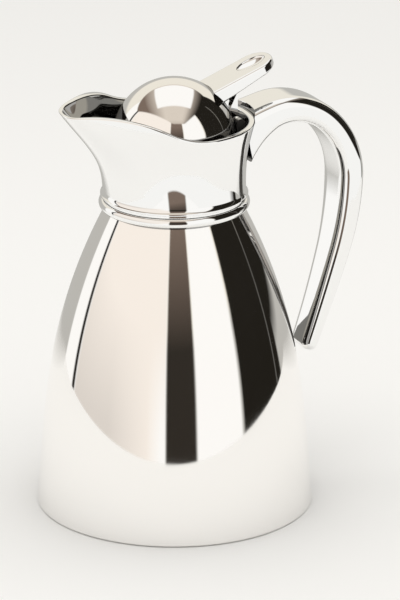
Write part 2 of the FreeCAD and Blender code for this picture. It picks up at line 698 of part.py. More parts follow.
def make_collar_liner():
    """Funnel with a flange on the collar's ledge and a tube into the flask's mouth."""
    body = new_body("collar_liner")
    corners = [
        ("mouth_radius", f"{LINER_FOOT} - tube_depth"),
        (TUBE_RADIUS, f"{LINER_FOOT} - tube_depth"),
        (TUBE_RADIUS, LINER_FOOT),
        (LINER_RADIUS, LINER_FOOT),
        (LINER_RADIUS, LINER_TOP),
        ("funnel_radius", LINER_TOP),
        ("mouth_radius", MOUTH_TOP),
    ]
    revolve(body, "funnel", corners)
    return body


def make_gaskets():
    """Flat ring under the liner and thick ring on the flask's lip."""
    ring_body("liner_gasket", "spigot_radius - spigot_wall + fit_gap", LINER_RADIUS, LEDGE, LINER_FOOT)
    ring_body("neck_gasket", f"{TUBE_RADIUS} + fit_gap", "flask_neck", LIP_TOP, LINER_FOOT)


# Vacuum flask

LIP_FOOT = f"({LIP_TOP} - glass_wall)"
INNER_INSET = "(flask_inset + glass_wall + vacuum_gap)"
INNER_FLOOR = "(flask_floor + glass_wall + vacuum_gap)"
INNER_NECK = "(flask_neck - glass_wall - neck_gap)"


def glass_side(inset, floor, heel, shoulder, neck, neck_foot):
    """Corners of one side of a glass wall, from the flat bottom up to the neck's foot."""
    heel_level = f"({floor} + {heel})"
    heel_reach = bell_foot(heel_level, inset)
    return [
        (f"({heel_reach} - {heel})", floor),
        (heel_reach, heel_level),
        (bell_foot(bell_turn(inset), inset), bell_turn(inset)),
        (bell_flank(shoulder, inset), shoulder),
        (neck, neck_foot),
    ]


def make_flask_outer():
    """Outer glass with its seal-off tip."""
    body = new_body("flask_outer")
    inside = "(flask_inset + glass_wall)"
    outer = glass_side("flask_inset", "flask_floor", "heel_radius",
                       "flask_shoulder", "flask_neck", "neck_base")
    inner = glass_side(inside, "(flask_floor + glass_wall)", "(heel_radius - glass_wall)", "flask_shoulder",
                       "(flask_neck - glass_wall)", "neck_base")
    corners = [("0", "flask_floor - tip_length"), ("tip_radius", "flask_floor")] + outer
    corners += [("flask_neck", LIP_FOOT), ("flask_neck - glass_wall", LIP_FOOT)]
    corners += inner[::-1] + [("0", "flask_floor + glass_wall")]
    arcs = {
        2: ("heel_radius", 1),
        4: ("flank_radius - flask_inset", 1),
        10: (f"flank_radius - {inside}", -1),
        12: ("heel_radius - glass_wall", -1),
    }
    revolve(body, "outer_glass", corners, arcs)
    return body


def make_flask_inner():
    """Inner glass with the lip that joins the outer glass."""
    body = new_body("flask_inner")
    inside = f"({INNER_INSET} + glass_wall)"
    shoulder = "(flask_shoulder - vacuum_gap)"
    neck_foot = "(neck_base - vacuum_gap)"
    bore = f"({INNER_NECK} - glass_wall)"
    outer = glass_side(INNER_INSET, INNER_FLOOR, "heel_radius", shoulder, INNER_NECK, neck_foot)
    inner = glass_side(inside, f"({INNER_FLOOR} + glass_wall)", "(heel_radius - glass_wall)", shoulder,
                       bore, neck_foot)
    corners = [("0", INNER_FLOOR)] + outer
    corners += [(INNER_NECK, LIP_FOOT), ("flask_neck", LIP_FOOT), ("flask_neck", LIP_TOP), (bore, LIP_TOP)]
    corners += inner[::-1] + [("0", f"{INNER_FLOOR} + glass_wall")]
    arcs = {
        1: ("heel_radius", 1),
        3: (f"flank_radius - {INNER_INSET}", 1),
        11: (f"flank_radius - {inside}", -1),
        13: ("heel_radius - glass_wall", -1),
    }
    revolve(body, "inner_glass", corners, arcs)
    return body


def make_flask_spacers():
    """Pads that keep the two glasses apart."""
    pads = []
    for step in range(SPACER_PADS):
        angle = 360 * step / SPACER_PADS
        disc = doc.addObject("Part::Cylinder", f"spacer_pad_{step}")
        disc.setExpression("Radius", bound("pad_radius"))
        disc.setExpression("Height", bound("vacuum_gap"))
        disc.setExpression("Placement.Base.x", bound(f"pad_circle * cos({angle})"))
        disc.setExpression("Placement.Base.y", bound(f"pad_circle * sin({angle})"))
        disc.setExpression("Placement.Base.z", bound("flask_floor + glass_wall"))
        pads.append(disc)
    return compound("flask_spacers", pads)


# Base

def make_base():
    """Threaded ring on the hem, screwed cap, rubber foot and the flask's cushion."""
    ring = new_body("base_ring")
    ring_top = f"({CAP_FOOT} + base_ring_height)"
    corners = [
        ("thread_bore", CAP_FOOT),
        (bell_foot(CAP_FOOT, "(shell_wall + fit_gap)"), CAP_FOOT),
        (bell_foot(ring_top, "(shell_wall + fit_gap)"), ring_top),
        ("thread_bore", ring_top),
    ]
    revolve(ring, "thread_ring", corners)
    cap = new_body("base_cap")
    cap_radius = "(thread_bore - fit_gap)"
    groove_top = f"({CAP_FOOT} + foot_groove)"
    cap_top = f"({CAP_FOOT} + cap_height)"
    corners = [
        ("0", CAP_FOOT),
        ("foot_inner", CAP_FOOT),
        ("foot_inner", groove_top),
        ("foot_outer", groove_top),
        ("foot_outer", CAP_FOOT),
        (cap_radius, CAP_FOOT),
        (cap_radius, cap_top),
        (f"{cap_radius} - cap_skirt", cap_top),
        (f"{cap_radius} - cap_skirt", CAP_FLOOR),
        ("0", CAP_FLOOR),
    ]
    revolve(cap, "cap_turn", corners)
    slot = new_sketch(cap, "coin_slot_outline", "XY_Plane", CAP_FOOT)
    half_length = "slot_length / 2"
    half_width = "slot_width / 2"
    draw_outline(slot, [(f"-{half_length}", f"-{half_width}"), (half_length, f"-{half_width}"),
                        (half_length, half_width), (f"-{half_length}", half_width)])
    pocket(cap, "coin_slot", slot, "cap_thickness / 2", reverse=True)
    ring_body("foot_ring", "foot_inner + fit_gap", "foot_outer - fit_gap", "0", groove_top)
    ring_body("base_cushion", "cushion_inner", "cushion_outer", CAP_FLOOR, "flask_floor")


# Handle

HANDLE_RUNS = [
    ("crook_radius", "crook_turn"),
    ("back_radius", "back_turn"),
    ("grip_radius", "grip_turn"),
    ("tail_radius", "tail_turn"),
]


def handle_joint(runs):
    """Place and heading of the handle's centre line after its first run and some of its bends."""
    across = "handle_start"
    along = f"{RING_TOP} + handle_rise"
    heading = "handle_lift"
    if runs > 0:
        across += " + handle_lead * cos(handle_lift)"
        along += " + handle_lead * sin(handle_lift)"
    for radius, turn in HANDLE_RUNS[:max(runs - 1, 0)]:
        after = f"{heading} - {turn}"
        across += f" + {radius} * (sin({heading}) - sin({after}))"
        along += f" + {radius} * (cos({after}) - cos({heading}))"
        heading = after
    return across, along, heading


def handle_section(body, name, joint, width, depth, rounding, drop="0"):
    """Rounded oblong square to the centre line at a joint of its runs."""
    across, along, heading = joint
    sketch = new_sketch(body, name, "YZ_Plane", across)
    sketch.AttachmentOffset = Placement(Vector(), Rotation(Vector(1, 0, 0), -number(heading)))
    sketch.setExpression("AttachmentOffset.Base.y", bound(along))
    half = f"({width} / 2)"
    top = f"({depth} / 2 - {drop})"
    foot = f"(-{depth} / 2 - {drop})"
    side = f"({half} - {rounding})"
    corners = [
        (f"-{side}", foot), (side, foot),
        (half, f"{foot} + {rounding}"), (half, f"{top} - {rounding}"),
        (side, top), (f"-{side}", top),
        (f"-{half}", f"{top} - {rounding}"), (f"-{half}", f"{foot} + {rounding}"),
    ]
    return draw_outline(sketch, corners, {side: (rounding, 1) for side in (1, 3, 5, 7)})


def make_handle():
    """Handle swept along its centre line, rounded at its free end and seated on the collar."""
    body = doc.addObject("PartDesign::Body", "handle_blank")
    path = new_sketch(body, "handle_line", "XZ_Plane")
    joints = [handle_joint(runs) for runs in range(len(HANDLE_RUNS) + 2)]
    places = [Vector(number(across), number(along), 0) for across, along, _ in joints]
    path.addGeometry(Part.LineSegment(places[0], places[1]))
    for bend, (radius, _) in enumerate(HANDLE_RUNS, start=1):
        path.addGeometry(arc_between(places[bend], places[bend + 1], number(radius), -1))
    pin_point(path, 0, 1, *joints[0][:2])
    pin_point(path, 0, 2, *joints[1][:2])
    for bend, (radius, _) in enumerate(HANDLE_RUNS, start=1):
        before = (bend - 1, 2) if bend == 1 else (bend - 1, 1)
        path.addConstraint(Sketcher.Constraint("Coincident", *before, bend, 2))
        pin_point(path, bend, 1, *joints[bend + 1][:2])
        index = path.addConstraint(Sketcher.Constraint("Radius", bend, number(radius)))
        path.setExpression(f"Constraints[{index}]", bound(radius))
    sizes = [
        ("root", "root_width", "root_depth", "handle_round", "root_drop"),
        ("shank", "handle_width", "shank_depth", "handle_round", "shank_drop"),
        ("crook", "handle_width", "handle_depth", "handle_round"),
        ("back", "handle_width", "handle_depth", "handle_round"),
        ("lower", "lower_width", "lower_depth", "handle_round"),
        ("tail", "tail_width", "tail_depth", "tail_edge"),
    ]
    sections = [
        handle_section(body, f"{name}_section", joint, *measures)
        for joint, (name, *measures) in zip(joints, sizes)
    ]
    doc.recompute()
    sweep = body.newObject("PartDesign::AdditivePipe", "handle_sweep")
    sweep.Profile = sections[0]
    sweep.Spine = (path, [f"Edge{edge}" for edge in range(1, len(joints))])
    sweep.Transformation = "Multisection"
    sweep.Sections = sections[1:]
    doc.recompute()
    end = places[-1]
    tip = Vector(end.x, 0, end.y)
    tail = min(sweep.Shape.Faces, key=lambda face: face.CenterOfMass.distanceToPoint(tip))
    edges = [
        f"Edge{index}" for index, edge in enumerate(sweep.Shape.Edges, start=1)
        if any(edge.isSame(other) for other in tail.Edges)
    ]
    round_edges(body, "tail_rounding", sweep, edges, "tail_round")
    drill(body, "handle_holes", HANDLE_SCREWS, "shank_radius + screw_gap", "plate_face",
          "handle_screw_length + head_height")
    seat = collar_form("handle_seat", -number("fit_gap"), -number("fit_gap"))
    return cut("handle", body, seat)


# Hinge

EAR_INNER = "(barrel_half + ear_gap)"
EAR_OUTER = f"({EAR_INNER} + ear_width)"


def make_hinge_bracket():
    """Plate against the collar's rear wall with two ears for the pin."""
    body = doc.addObject("PartDesign::Body", "bracket_blank")
    outline = new_sketch(body, "bracket_outline", "XZ_Plane")
    beyond = "(breast_radius + collar_wall)"
    plate_foot = f"({HINGE_LEVEL} - plate_drop)"
    plate_brow = f"({HINGE_LEVEL} - plate_top)"
    corners = [
        ("plate_face", plate_foot),
        (beyond, plate_foot),
        (beyond, plate_brow),
        ("hinge_reach + ear_radius", plate_brow),
        ("hinge_reach + ear_radius", HINGE_LEVEL),
        ("hinge_reach", f"{HINGE_LEVEL} + ear_radius"),
        ("hinge_reach - ear_radius", HINGE_LEVEL),
        ("hinge_reach - ear_radius", plate_brow),
        ("plate_face", f"{plate_brow} - ear_radius"),
    ]
    draw_outline(outline, corners, {4: ("ear_radius", 1), 5: ("ear_radius", 1)})
    pad(body, "bracket_block", outline, f"2 * {EAR_OUTER}", symmetric=True)
    slot = new_sketch(body, "ear_slot_outline", "XZ_Plane")
    left = "(hinge_reach - 2 * ear_radius)"
    top = f"({HINGE_LEVEL} + 2 * ear_radius)"
    draw_outline(slot, [("plate_face", f"{plate_brow} - 2 * ear_radius"), ("plate_face", plate_brow),
                        (beyond, plate_brow), (beyond, top), (left, top),
                        (left, f"{plate_brow} - 2 * ear_radius")])
    pocket(body, "ear_slot", slot, f"2 * {EAR_INNER}", symmetric=True)
    bore = draw_circle(new_sketch(body, "pin_bore_outline", "XZ_Plane"), "hinge_reach", HINGE_LEVEL,
                       "pin_radius + pin_fit")
    pocket(body, "pin_bore", bore, f"4 * {EAR_OUTER}", symmetric=True)
    drill(body, "bracket_holes", HANDLE_SCREWS, "shank_radius + screw_gap", "plate_face", beyond)
    room = collar_form("bracket_room", number("collar_wall + fit_gap"), number("lip_width + fit_gap"))
    fitted = doc.addObject("Part::Common", "hinge_bracket")
    fitted.Label = "hinge_bracket"
    fitted.Base = body
    fitted.Tool = room
    doc.recompute()
    nodes.append(fitted)
    return fitted


def make_hinge_pin():
    """Plain pin through the ears and the lever's barrel."""
    body = new_body("hinge_pin")
    outline = new_sketch(body, "pin_outline", "XZ_Plane")
    circle = draw_circle(outline, "hinge_reach", HINGE_LEVEL, "pin_radius")
    pad(body, "pin", circle, f"2 * {EAR_OUTER}", symmetric=True)
    return body


# Lid

CORE_RADIUS = "(dome_radius - dome_wall - core_gap)"


def make_lid_dome():
    """Half ball of sheet steel with a short straight edge and two holes at the back."""
    body = new_body("lid_dome")
    inner = "(dome_radius - dome_wall)"
    corners = [
        (inner, DOME_EDGE),
        ("dome_radius", DOME_EDGE),
        ("dome_radius", DOME_LEVEL),
        ("0", f"{DOME_LEVEL} + dome_radius"),
        ("0", f"{DOME_LEVEL} + {inner}"),
        (inner, DOME_LEVEL),
    ]
    revolve(body, "half_ball", corners, {2: ("dome_radius", 1), 4: (inner, -1)})
    drill(body, "lever_holes", LEVER_SCREWS, "shank_radius + screw_gap", "lever_screw_seat", "dome_radius")
    return body


def make_lid_core():
    """Hollow core under the dome, with seats for the lever's screws and holes for the plate's."""
    body = new_body("lid_core")
    hollow = f"({CORE_RADIUS} - core_wall)"
    flange = "(dome_radius - fit_gap)"
    corners = [
        ("core_mouth", SEAL_TOP),
        ("core_foot", SEAL_TOP),
        (flange, f"{DOME_EDGE} - core_flange"),
        (flange, DOME_EDGE),
        (CORE_RADIUS, DOME_EDGE),
        (CORE_RADIUS, DOME_LEVEL),
        ("0", f"{DOME_LEVEL} + {CORE_RADIUS}"),
        ("0", f"{DOME_LEVEL} + {hollow}"),
        (hollow, DOME_LEVEL),
        (hollow, CORE_RING_TOP),
        ("core_mouth", CORE_RING_TOP),
    ]
    revolve(body, "core_turn", corners, {5: (CORE_RADIUS, 1), 7: (hollow, -1)})
    run = "lever_screw_seat / 2"
    drill(body, "lever_seats", LEVER_SCREWS, "head_radius + head_gap", "lever_screw_seat", run, inward=True)
    drill(body, "lever_holes", LEVER_SCREWS, "shank_radius + screw_gap", "lever_screw_seat", run)
    pilot = draw_circle(new_sketch(body, "pilot_outline", "XY_Plane", SEAL_TOP), "-screw_circle", "0",
                        "shank_radius + screw_gap")
    hole = pocket(body, "pilot_hole", pilot, "core_ring", reverse=True)
    polar_copies(body, "pilot_holes", hole, LID_SCREWS)
    return body


def make_lid_seal():
    """Seal with a cone that matches the funnel."""
    body = new_body("lid_seal")
    corners = [
        ("seal_bore", SEAL_FOOT),
        ("seal_land", SEAL_FOOT),
        ("seal_radius", f"{funnel_level('seal_radius')} + seal_gap"),
        ("seal_radius", SEAL_TOP),
        ("seal_bore", SEAL_TOP),
    ]
    revolve(body, "seal_turn", corners)
    return body


def make_lid_plate():
    """Plate under the seal with a hub through it and three countersunk holes."""
    body = new_body("lid_plate")
    hub = "(seal_bore - fit_gap)"
    corners = [
        ("0", PLATE_FOOT),
        ("plate_foot", PLATE_FOOT),
        ("plate_radius", SEAL_FOOT),
        (hub, SEAL_FOOT),
        (hub, SEAL_TOP),
        ("0", SEAL_TOP),
    ]
    revolve(body, "plate_turn", corners)
    for name, radius, length in (("head_seat", "head_radius + head_gap", "head_height"),
                                 ("plate_hole", "shank_radius + screw_gap", "plate_height + seal_height")):
        outline = new_sketch(body, f"{name}_outline", "XY_Plane", PLATE_FOOT)
        sketch = draw_circle(outline, "-screw_circle", "0", radius)
        hole = pocket(body, name, sketch, length, reverse=True)
        polar_copies(body, f"{name}s", hole, LID_SCREWS)
    return body


# Thumb lever

def tip_edges(shape, reach):
    """Names of the upright edges at the lever's tip."""
    return [
        f"Edge{index}" for index, edge in enumerate(shape.Edges, start=1)
        if edge.BoundBox.XMin > reach - TOUCH and edge.BoundBox.YLength < TOUCH
    ]


def make_thumb_lever():
    """Tongue with a dimple, saddled on the dome's back, and a barrel on the hinge pin."""
    body = new_body("thumb_lever")
    tip_level = f"({RING_TOP} + tongue_rise)"
    heel = "(tongue_tip - tongue_run)"
    heel_level = f"({tip_level} - tongue_run * tan(tongue_slope))"
    under_tip = "(tongue_tip + tongue_edge * sin(tongue_slope))"
    under_level = f"({tip_level} - tongue_edge * cos(tongue_slope))"
    under_heel = "(block_back - tongue_width / 2)"
    corners = [
        (heel, heel_level),
        (under_heel, f"{under_level} - ({under_tip} - {under_heel}) * tan(tongue_belly)"),
        (under_tip, under_level),
        ("tongue_tip", tip_level),
    ]
    side = draw_outline(new_sketch(body, "tongue_side", "XZ_Plane"), corners)
    tongue = pad(body, "tongue", side, "tongue_width", symmetric=True)
    tip = round_edges(body, "tongue_tip_rounding", tongue, tip_edges(tongue.Shape, number("tongue_tip")),
                      "tongue_width / 2 - tongue_round / 4")
    top_and_foot = [
        f"Edge{index}" for index, edge in enumerate(tip.Shape.Edges, start=1)
        if edge.BoundBox.XMax > number("block_back") and edge.BoundBox.XLength > TOUCH
    ]
    round_edges(body, "tongue_edges", tip, top_and_foot, "tongue_round")
    dimple = body.newObject("PartDesign::SubtractiveEllipsoid", "thumb_dimple")
    dimple.setExpression("Radius1", bound("dimple_depth"))
    dimple.setExpression("Radius2", bound("dimple_length / 2"))
    dimple.setExpression("Radius3", bound("dimple_width / 2"))
    dimple.AttachmentOffset = Placement(Vector(), Rotation(Vector(0, 1, 0), -number("tongue_slope")))
    dimple_level = f"{tip_level} - dimple_place * sin(tongue_slope)"
    dimple.setExpression("AttachmentOffset.Base.x", bound("tongue_tip - dimple_place * cos(tongue_slope)"))
    dimple.setExpression("AttachmentOffset.Base.z", bound(dimple_level))
    plane = next(feature for feature in body.Origin.OriginFeatures if feature.Role == "XY_Plane")
    dimple.AttachmentSupport = [(plane, "")]
    dimple.MapMode = "FlatFace"
    doc.recompute()
    block_top = f"({under_level} - ({under_tip} - block_back) * tan(tongue_belly))"
    block_foot = f"({HINGE_LEVEL} + ear_radius + block_clear)"
    block_front = "(block_back - tongue_width / 2)"
    block = new_sketch(body, "block_side", "XZ_Plane")
    draw_outline(block, [(block_front, block_foot), ("block_back", block_foot),
                         ("block_back", f"{block_top} + tongue_round"), (block_front, block_top)])
    pad(body, "block", block, "2 * block_half", symmetric=True)
    neck = new_sketch(body, "neck_side", "XZ_Plane")
    neck_top = f"{block_foot} + tongue_round"
    draw_outline(neck, [(block_front, HINGE_LEVEL), ("block_back", HINGE_LEVEL),
                        ("block_back", neck_top), (block_front, neck_top)])
    pad(body, "neck", neck, "2 * barrel_half", symmetric=True)
    cut_ball(body, "dome_saddle", "dome_radius + seat_gap")
    barrel_side = new_sketch(body, "barrel_side", "XZ_Plane")
    barrel = draw_circle(barrel_side, "hinge_reach", HINGE_LEVEL, "barrel_radius")
    pad(body, "barrel", barrel, "2 * barrel_half", symmetric=True)
    bore_side = new_sketch(body, "bore_side", "XZ_Plane")
    bore = draw_circle(bore_side, "hinge_reach", HINGE_LEVEL, "pin_radius + running_fit")
    pocket(body, "bore", bore, "4 * barrel_half", symmetric=True)
    drill(body, "thread_holes", LEVER_SCREWS, "shank_radius + screw_gap", "lever_screw_seat",
          "lever_screw_length + screw_gap")
    return body


# Screws

def compound(label, items):
    """Several like solids as one node."""
    group = doc.addObject("Part::Compound", label)
    group.Label = label
    group.Links = items
    doc.recompute()
    nodes.append(group)
    return group


def place(item, turn, across, along, level):
    """Turn a screw's piece from +Z and tie it to its place."""
    item.Placement = Placement(Vector(), turn)
    for axis, text in zip("xyz", (across, along, level)):
        item.setExpression(f"Placement.Base.{axis}", bound(text))


def make_screw(name, turn, direction, seat, length):
    """Screw with a flat seat, a round head behind it and a hexagon socket."""
    def shifted(distance):
        return [f"{start} - ({distance}) * {share}" for start, share in zip(seat, direction)]
    head = doc.addObject("Part::Cylinder", f"{name}_head")
    head.setExpression("Radius", bound("head_radius"))
    head.setExpression("Height", bound("head_height"))
    place(head, turn, *shifted("head_height"))
    shank = doc.addObject("Part::Cylinder", f"{name}_shank")
    shank.setExpression("Radius", bound("shank_radius"))
    shank.setExpression("Height", bound(length))
    place(shank, turn, *seat)
    socket = doc.addObject("Part::Prism", f"{name}_socket")
    socket.Polygon = SOCKET_SIDES
    socket.setExpression("Circumradius", bound("socket_radius"))
    socket.setExpression("Height", bound("socket_depth"))
    place(socket, turn, *shifted("head_height"))
    solid = doc.addObject("Part::Fuse", f"{name}_solid")
    solid.Base = head
    solid.Tool = shank
    return cut(name, solid, socket, node=False)


def make_screws():
    """The three sets of screws."""
    along_x = Rotation(Vector(0, 1, 0), 90)
    upright = Rotation()
    handle_set = [
        make_screw(f"handle_screw_{index}", along_x, (1, 0, 0), ("plate_face", across, level),
                   "handle_screw_length")
        for index, (across, level) in enumerate(HANDLE_SCREWS)
    ]
    compound("handle_screws", handle_set)
    lever_set = [
        make_screw(f"lever_screw_{index}", along_x, (1, 0, 0), ("lever_screw_seat", across, level),
                   "lever_screw_length")
        for index, (across, level) in enumerate(LEVER_SCREWS)
    ]
    compound("lever_screws", lever_set)
    lid_set = []
    for index in range(LID_SCREWS):
        angle = 180 + 360 * index / LID_SCREWS
        seat = (f"screw_circle * cos({angle})", f"screw_circle * sin({angle})", SCREW_SEAT)
        lid_set.append(make_screw(f"lid_screw_{index}", upright, (0, 0, 1), seat, "lid_screw_length"))
    compound("lid_screws", lid_set)


# Whole jug

def check_model():
    """Refuse a model with a failed object or a bad solid."""
    for item in doc.Objects:
        if any(flag in ("Invalid", "Error") for flag in item.State):
            raise RuntimeError(f"{item.Label} failed: {item.State}")
    for node in nodes:
        if node.Shape.isNull() or not node.Shape.isValid() or not node.Shape.Solids:
            raise RuntimeError(f"{node.Label} has no valid solid")


def main():
    """Build every piece, check it and write one file per node."""
    make_outer_shell()
    make_waist_ring()
    make_pouring_collar()
    make_collar_nut()
    make_collar_liner()
    make_gaskets()
    make_flask_outer()
    make_flask_inner()
    make_flask_spacers()
    make_base()
    make_handle()
    make_hinge_bracket()
    make_hinge_pin()
    make_lid_dome()
    make_lid_core()
    make_lid_seal()
    make_lid_plate()
    make_thumb_lever()
    make_screws()
    doc.recompute()
    check_model()
    os.makedirs("parts", exist_ok=True)
    for node in nodes:
        node.Shape.exportStep(f"parts/{node.Label}.step")


main()
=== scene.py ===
import json
import math

import bmesh
import bpy
import numpy
from bpy.props import FloatProperty, FloatVectorProperty, IntProperty, PointerProperty
from mathutils import Matrix, Vector


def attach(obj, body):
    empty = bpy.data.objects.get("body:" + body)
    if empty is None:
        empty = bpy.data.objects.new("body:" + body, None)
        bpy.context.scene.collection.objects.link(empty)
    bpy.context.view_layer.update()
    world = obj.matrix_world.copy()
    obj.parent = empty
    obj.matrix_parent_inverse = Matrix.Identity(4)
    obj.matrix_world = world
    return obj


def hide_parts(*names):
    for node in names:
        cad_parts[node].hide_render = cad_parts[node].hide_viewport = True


# Looks of a polished vacuum jug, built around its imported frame.
# Metres throughout: +Z up, +X to the handle, -X to the spout, origin in the middle of the rest plane.

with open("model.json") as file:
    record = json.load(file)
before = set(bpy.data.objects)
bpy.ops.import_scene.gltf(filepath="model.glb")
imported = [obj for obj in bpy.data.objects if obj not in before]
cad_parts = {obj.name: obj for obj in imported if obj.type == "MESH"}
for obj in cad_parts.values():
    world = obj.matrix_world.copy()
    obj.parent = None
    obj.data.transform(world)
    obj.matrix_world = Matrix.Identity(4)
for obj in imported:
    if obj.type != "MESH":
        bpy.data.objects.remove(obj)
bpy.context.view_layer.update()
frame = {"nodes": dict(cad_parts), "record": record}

bl_info = {
    "name": "Vacuum jug looks",
    "version": (1, 0, 0),
    "blender": (4, 5, 0),
    "location": "View3D > Sidebar > Jug",
    "description": "Builds the polished pieces, finishes and stage of a vacuum jug",
    "category": "Object",
}

JUG = "jug"
LID = "lid"
SHARP = math.radians(32)
WELD = 1e-6


# Sizes and colours a user would change

def length(label, value, text):
    return FloatProperty(name=label, description=text, default=value, precision=5, unit="LENGTH")


def angle(label, degrees, text):
    return FloatProperty(name=label, description=text, default=math.radians(degrees), subtype="ANGLE")


def colour(label, value, text):
    return FloatVectorProperty(name=label, description=text, default=value, size=3, min=0, max=1,
                               subtype="COLOR")


def share(label, value, text):
    return FloatProperty(name=label, description=text, default=value, min=0, max=1, subtype="FACTOR")


class CasingSizes(bpy.types.PropertyGroup):
    """The bell, the bead round its neck and the dome."""
    base_radius: length("Base radius", 0.0700, "Outer radius at the rest plane")
    draft: angle("Wall draft", 4.7, "Lean of the straight lower wall")
    straight_top: length("Straight height", 0.0460, "Height where the wall turns into the flank")
    flank_radius: length("Flank radius", 0.2899, "Radius of the long curve of the flank")
    flank_ease: length("Flank ease", 0.0260, "Height over which the wall eases into the flank")
    shoulder_radius: length("Shoulder radius", 0.0346, "Radius of the flank's top")
    shoulder: length("Shoulder height", 0.1558, "Height of the neck flange")
    wall: length("Wall", 0.0010, "Sheet thickness")
    foot_gap: length("Foot gap", 0.0006, "Height of the lower edge above the rest plane")
    hem: length("Hem", 0.0040, "Width of the turned-in hem")
    bore: length("Neck bore", 0.0314, "Radius of the hole in the neck flange")
    bead_radius: length("Bead radius", 0.0029, "Radius of the bead's round")
    bead_reach: length("Bead reach", 0.0378, "Outer radius of the bead")
    land: length("Land radius", 0.0359, "Radius of the narrow band above the bead")
    ring_height: length("Ring height", 0.0068, "Height of the ring")
    dome_radius: length("Dome radius", 0.0308, "Outer radius of the dome")
    dome_level: length("Dome level", 0.1915, "Height of the dome's centre")
    dome_edge: length("Dome edge", 0.1880, "Height of the dome's lower edge")
    turns: IntProperty(name="Turns", description="Steps round a turned piece", default=256, min=24)


class CollarSizes(bpy.types.PropertyGroup):
    """The collar with its spout."""
    foot: length("Foot", 0.1626, "Height of the collar's foot")
    wall: length("Wall", 0.0020, "Wall of the collar")
    lip: length("Lip", 0.0036, "Width of the rim at its sides and rear")
    lip_round: length("Lip rounding", 0.0006, "Rounding of the rim's edges")
    rim_level: length("Rim level", 0.2011, "Height of the level rear rim")
    rim_turn: length("Rim turn", 0.0023, "Place along X where the rim starts to climb")
    rim_valley: length("Rim valley", 0.0450, "Radius of the rim's hollow curve")
    rim_climb: angle("Rim climb", 28.0, "Steepest climb of the rim")
    rim_crest: length("Rim crest", 0.0600, "Radius of the crest over the spout")
    spigot: length("Spigot", 0.0312, "Outer radius of the hidden spigot")
    spigot_wall: length("Spigot wall", 0.0020, "Wall of the spigot")
    spigot_foot: length("Spigot foot", 0.1463, "Height of the spigot's lower end")
    flange: length("Flange", 0.0370, "Outer radius of the foot flange")
    flange_top: length("Flange top", 0.1636, "Height of the foot flange's upper edge")
    columns: IntProperty(name="Columns", description="Points round the collar", default=288, min=48)
    rows: IntProperty(name="Rows", description="Rings up the collar's wall", default=72, min=8)


class HandleSizes(bpy.types.PropertyGroup):
    """The handle's centre line and sections."""
    start_x: length("Start", 0.0330, "Place along X where the centre line starts")
    start_z: length("Start height", 0.1957, "Height of that start")
    lift: angle("Lift", 12.8, "Climb of the first run")
    lead: length("Lead", 0.0186, "Length of the first run")
    crook_radius: length("Crook radius", 0.0339, "Radius of the upper bend")
    crook_turn: angle("Crook turn", 57.5, "Turn of the upper bend")
    back_radius: length("Back radius", 0.0435, "Radius of the back")
    back_turn: angle("Back turn", 46.3, "Turn of the back")
    grip_radius: length("Grip radius", 0.1525, "Radius of the grip")
    grip_turn: angle("Grip turn", 15.4, "Turn of the grip")
    tail_radius: length("Tail radius", 0.6640, "Radius of the tail")
    tail_turn: angle("Tail turn", 4.5, "Turn of the tail")
    width: length("Width", 0.0250, "Width of the grip")
    depth: length("Depth", 0.0125, "Thickness of the grip")
    rounding: length("Rounding", 0.0045, "Rounding of the long edges")
    root_width: length("Root width", 0.0280, "Width at the collar")
    root_depth: length("Root depth", 0.0245, "Height at the collar")
    root_drop: length("Root drop", 0.00735, "Drop of the root below the centre line")
    shank_depth: length("Shank depth", 0.0145, "Thickness at the end of the first run")
    shank_drop: length("Shank drop", 0.0010, "Drop of the shank below the centre line")
    lower_width: length("Lower width", 0.0204, "Width where the tail starts")
    lower_depth: length("Lower depth", 0.0114, "Thickness where the tail starts")
    tail_width: length("Tail width", 0.0174, "Width of the free end")
    tail_depth: length("Tail depth", 0.0088, "Thickness of the free end")
    tail_edge: length("Tail edge", 0.0040, "Rounding of the free end's long edges")
    tail_round: length("Tail rounding", 0.0036, "Rounding of the free end")
    seat_gap: length("Seat gap", 0.0002, "Gap between root and collar")


class LeverSizes(bpy.types.PropertyGroup):
    """The thumb lever's slope and dimple."""
    slope: angle("Slope", 20.4, "Climb of the lever's top")
    dimple_reach: length("Dimple reach", 0.04229, "The dimple's middle from the jug's axis")
    dimple_length: length("Dimple length", 0.016, "Length of the dimple")
    dimple_width: length("Dimple width", 0.010, "Width of the dimple")
    deepen: FloatProperty(name="Deepen", description="Depth of the dimple against the solid's",
                          default=2.2, min=1)


class FinishColours(bpy.types.PropertyGroup):
    """Colours and polish of the finishes."""
    steel: colour("Polished steel", (0.975, 0.96, 0.94), "Warm polished steel of bell and dome")
    chrome: colour("Bright chrome", (0.95, 0.95, 0.945), "Plating of collar, ring, lever and handle")
    hinge: colour("Hinge steel", (0.55, 0.55, 0.54), "Satin steel of pin, bracket and screws")
    plastic: colour("Black plastic", (0.025, 0.025, 0.027), "Liner, nut, base and lid core")
    rubber: colour("Dark rubber", (0.045, 0.044, 0.043), "Foot, gaskets and seal")
    silver: colour("Silvered glass", (0.82, 0.83, 0.82), "Flask glass with its silvering")
    felt: colour("Grey felt", (0.38, 0.37, 0.35), "Pads between the glasses")
    steel_polish: share("Steel roughness", 0.035, "Roughness of clean polished steel")
    chrome_polish: share("Chrome roughness", 0.02, "Roughness of clean plating")


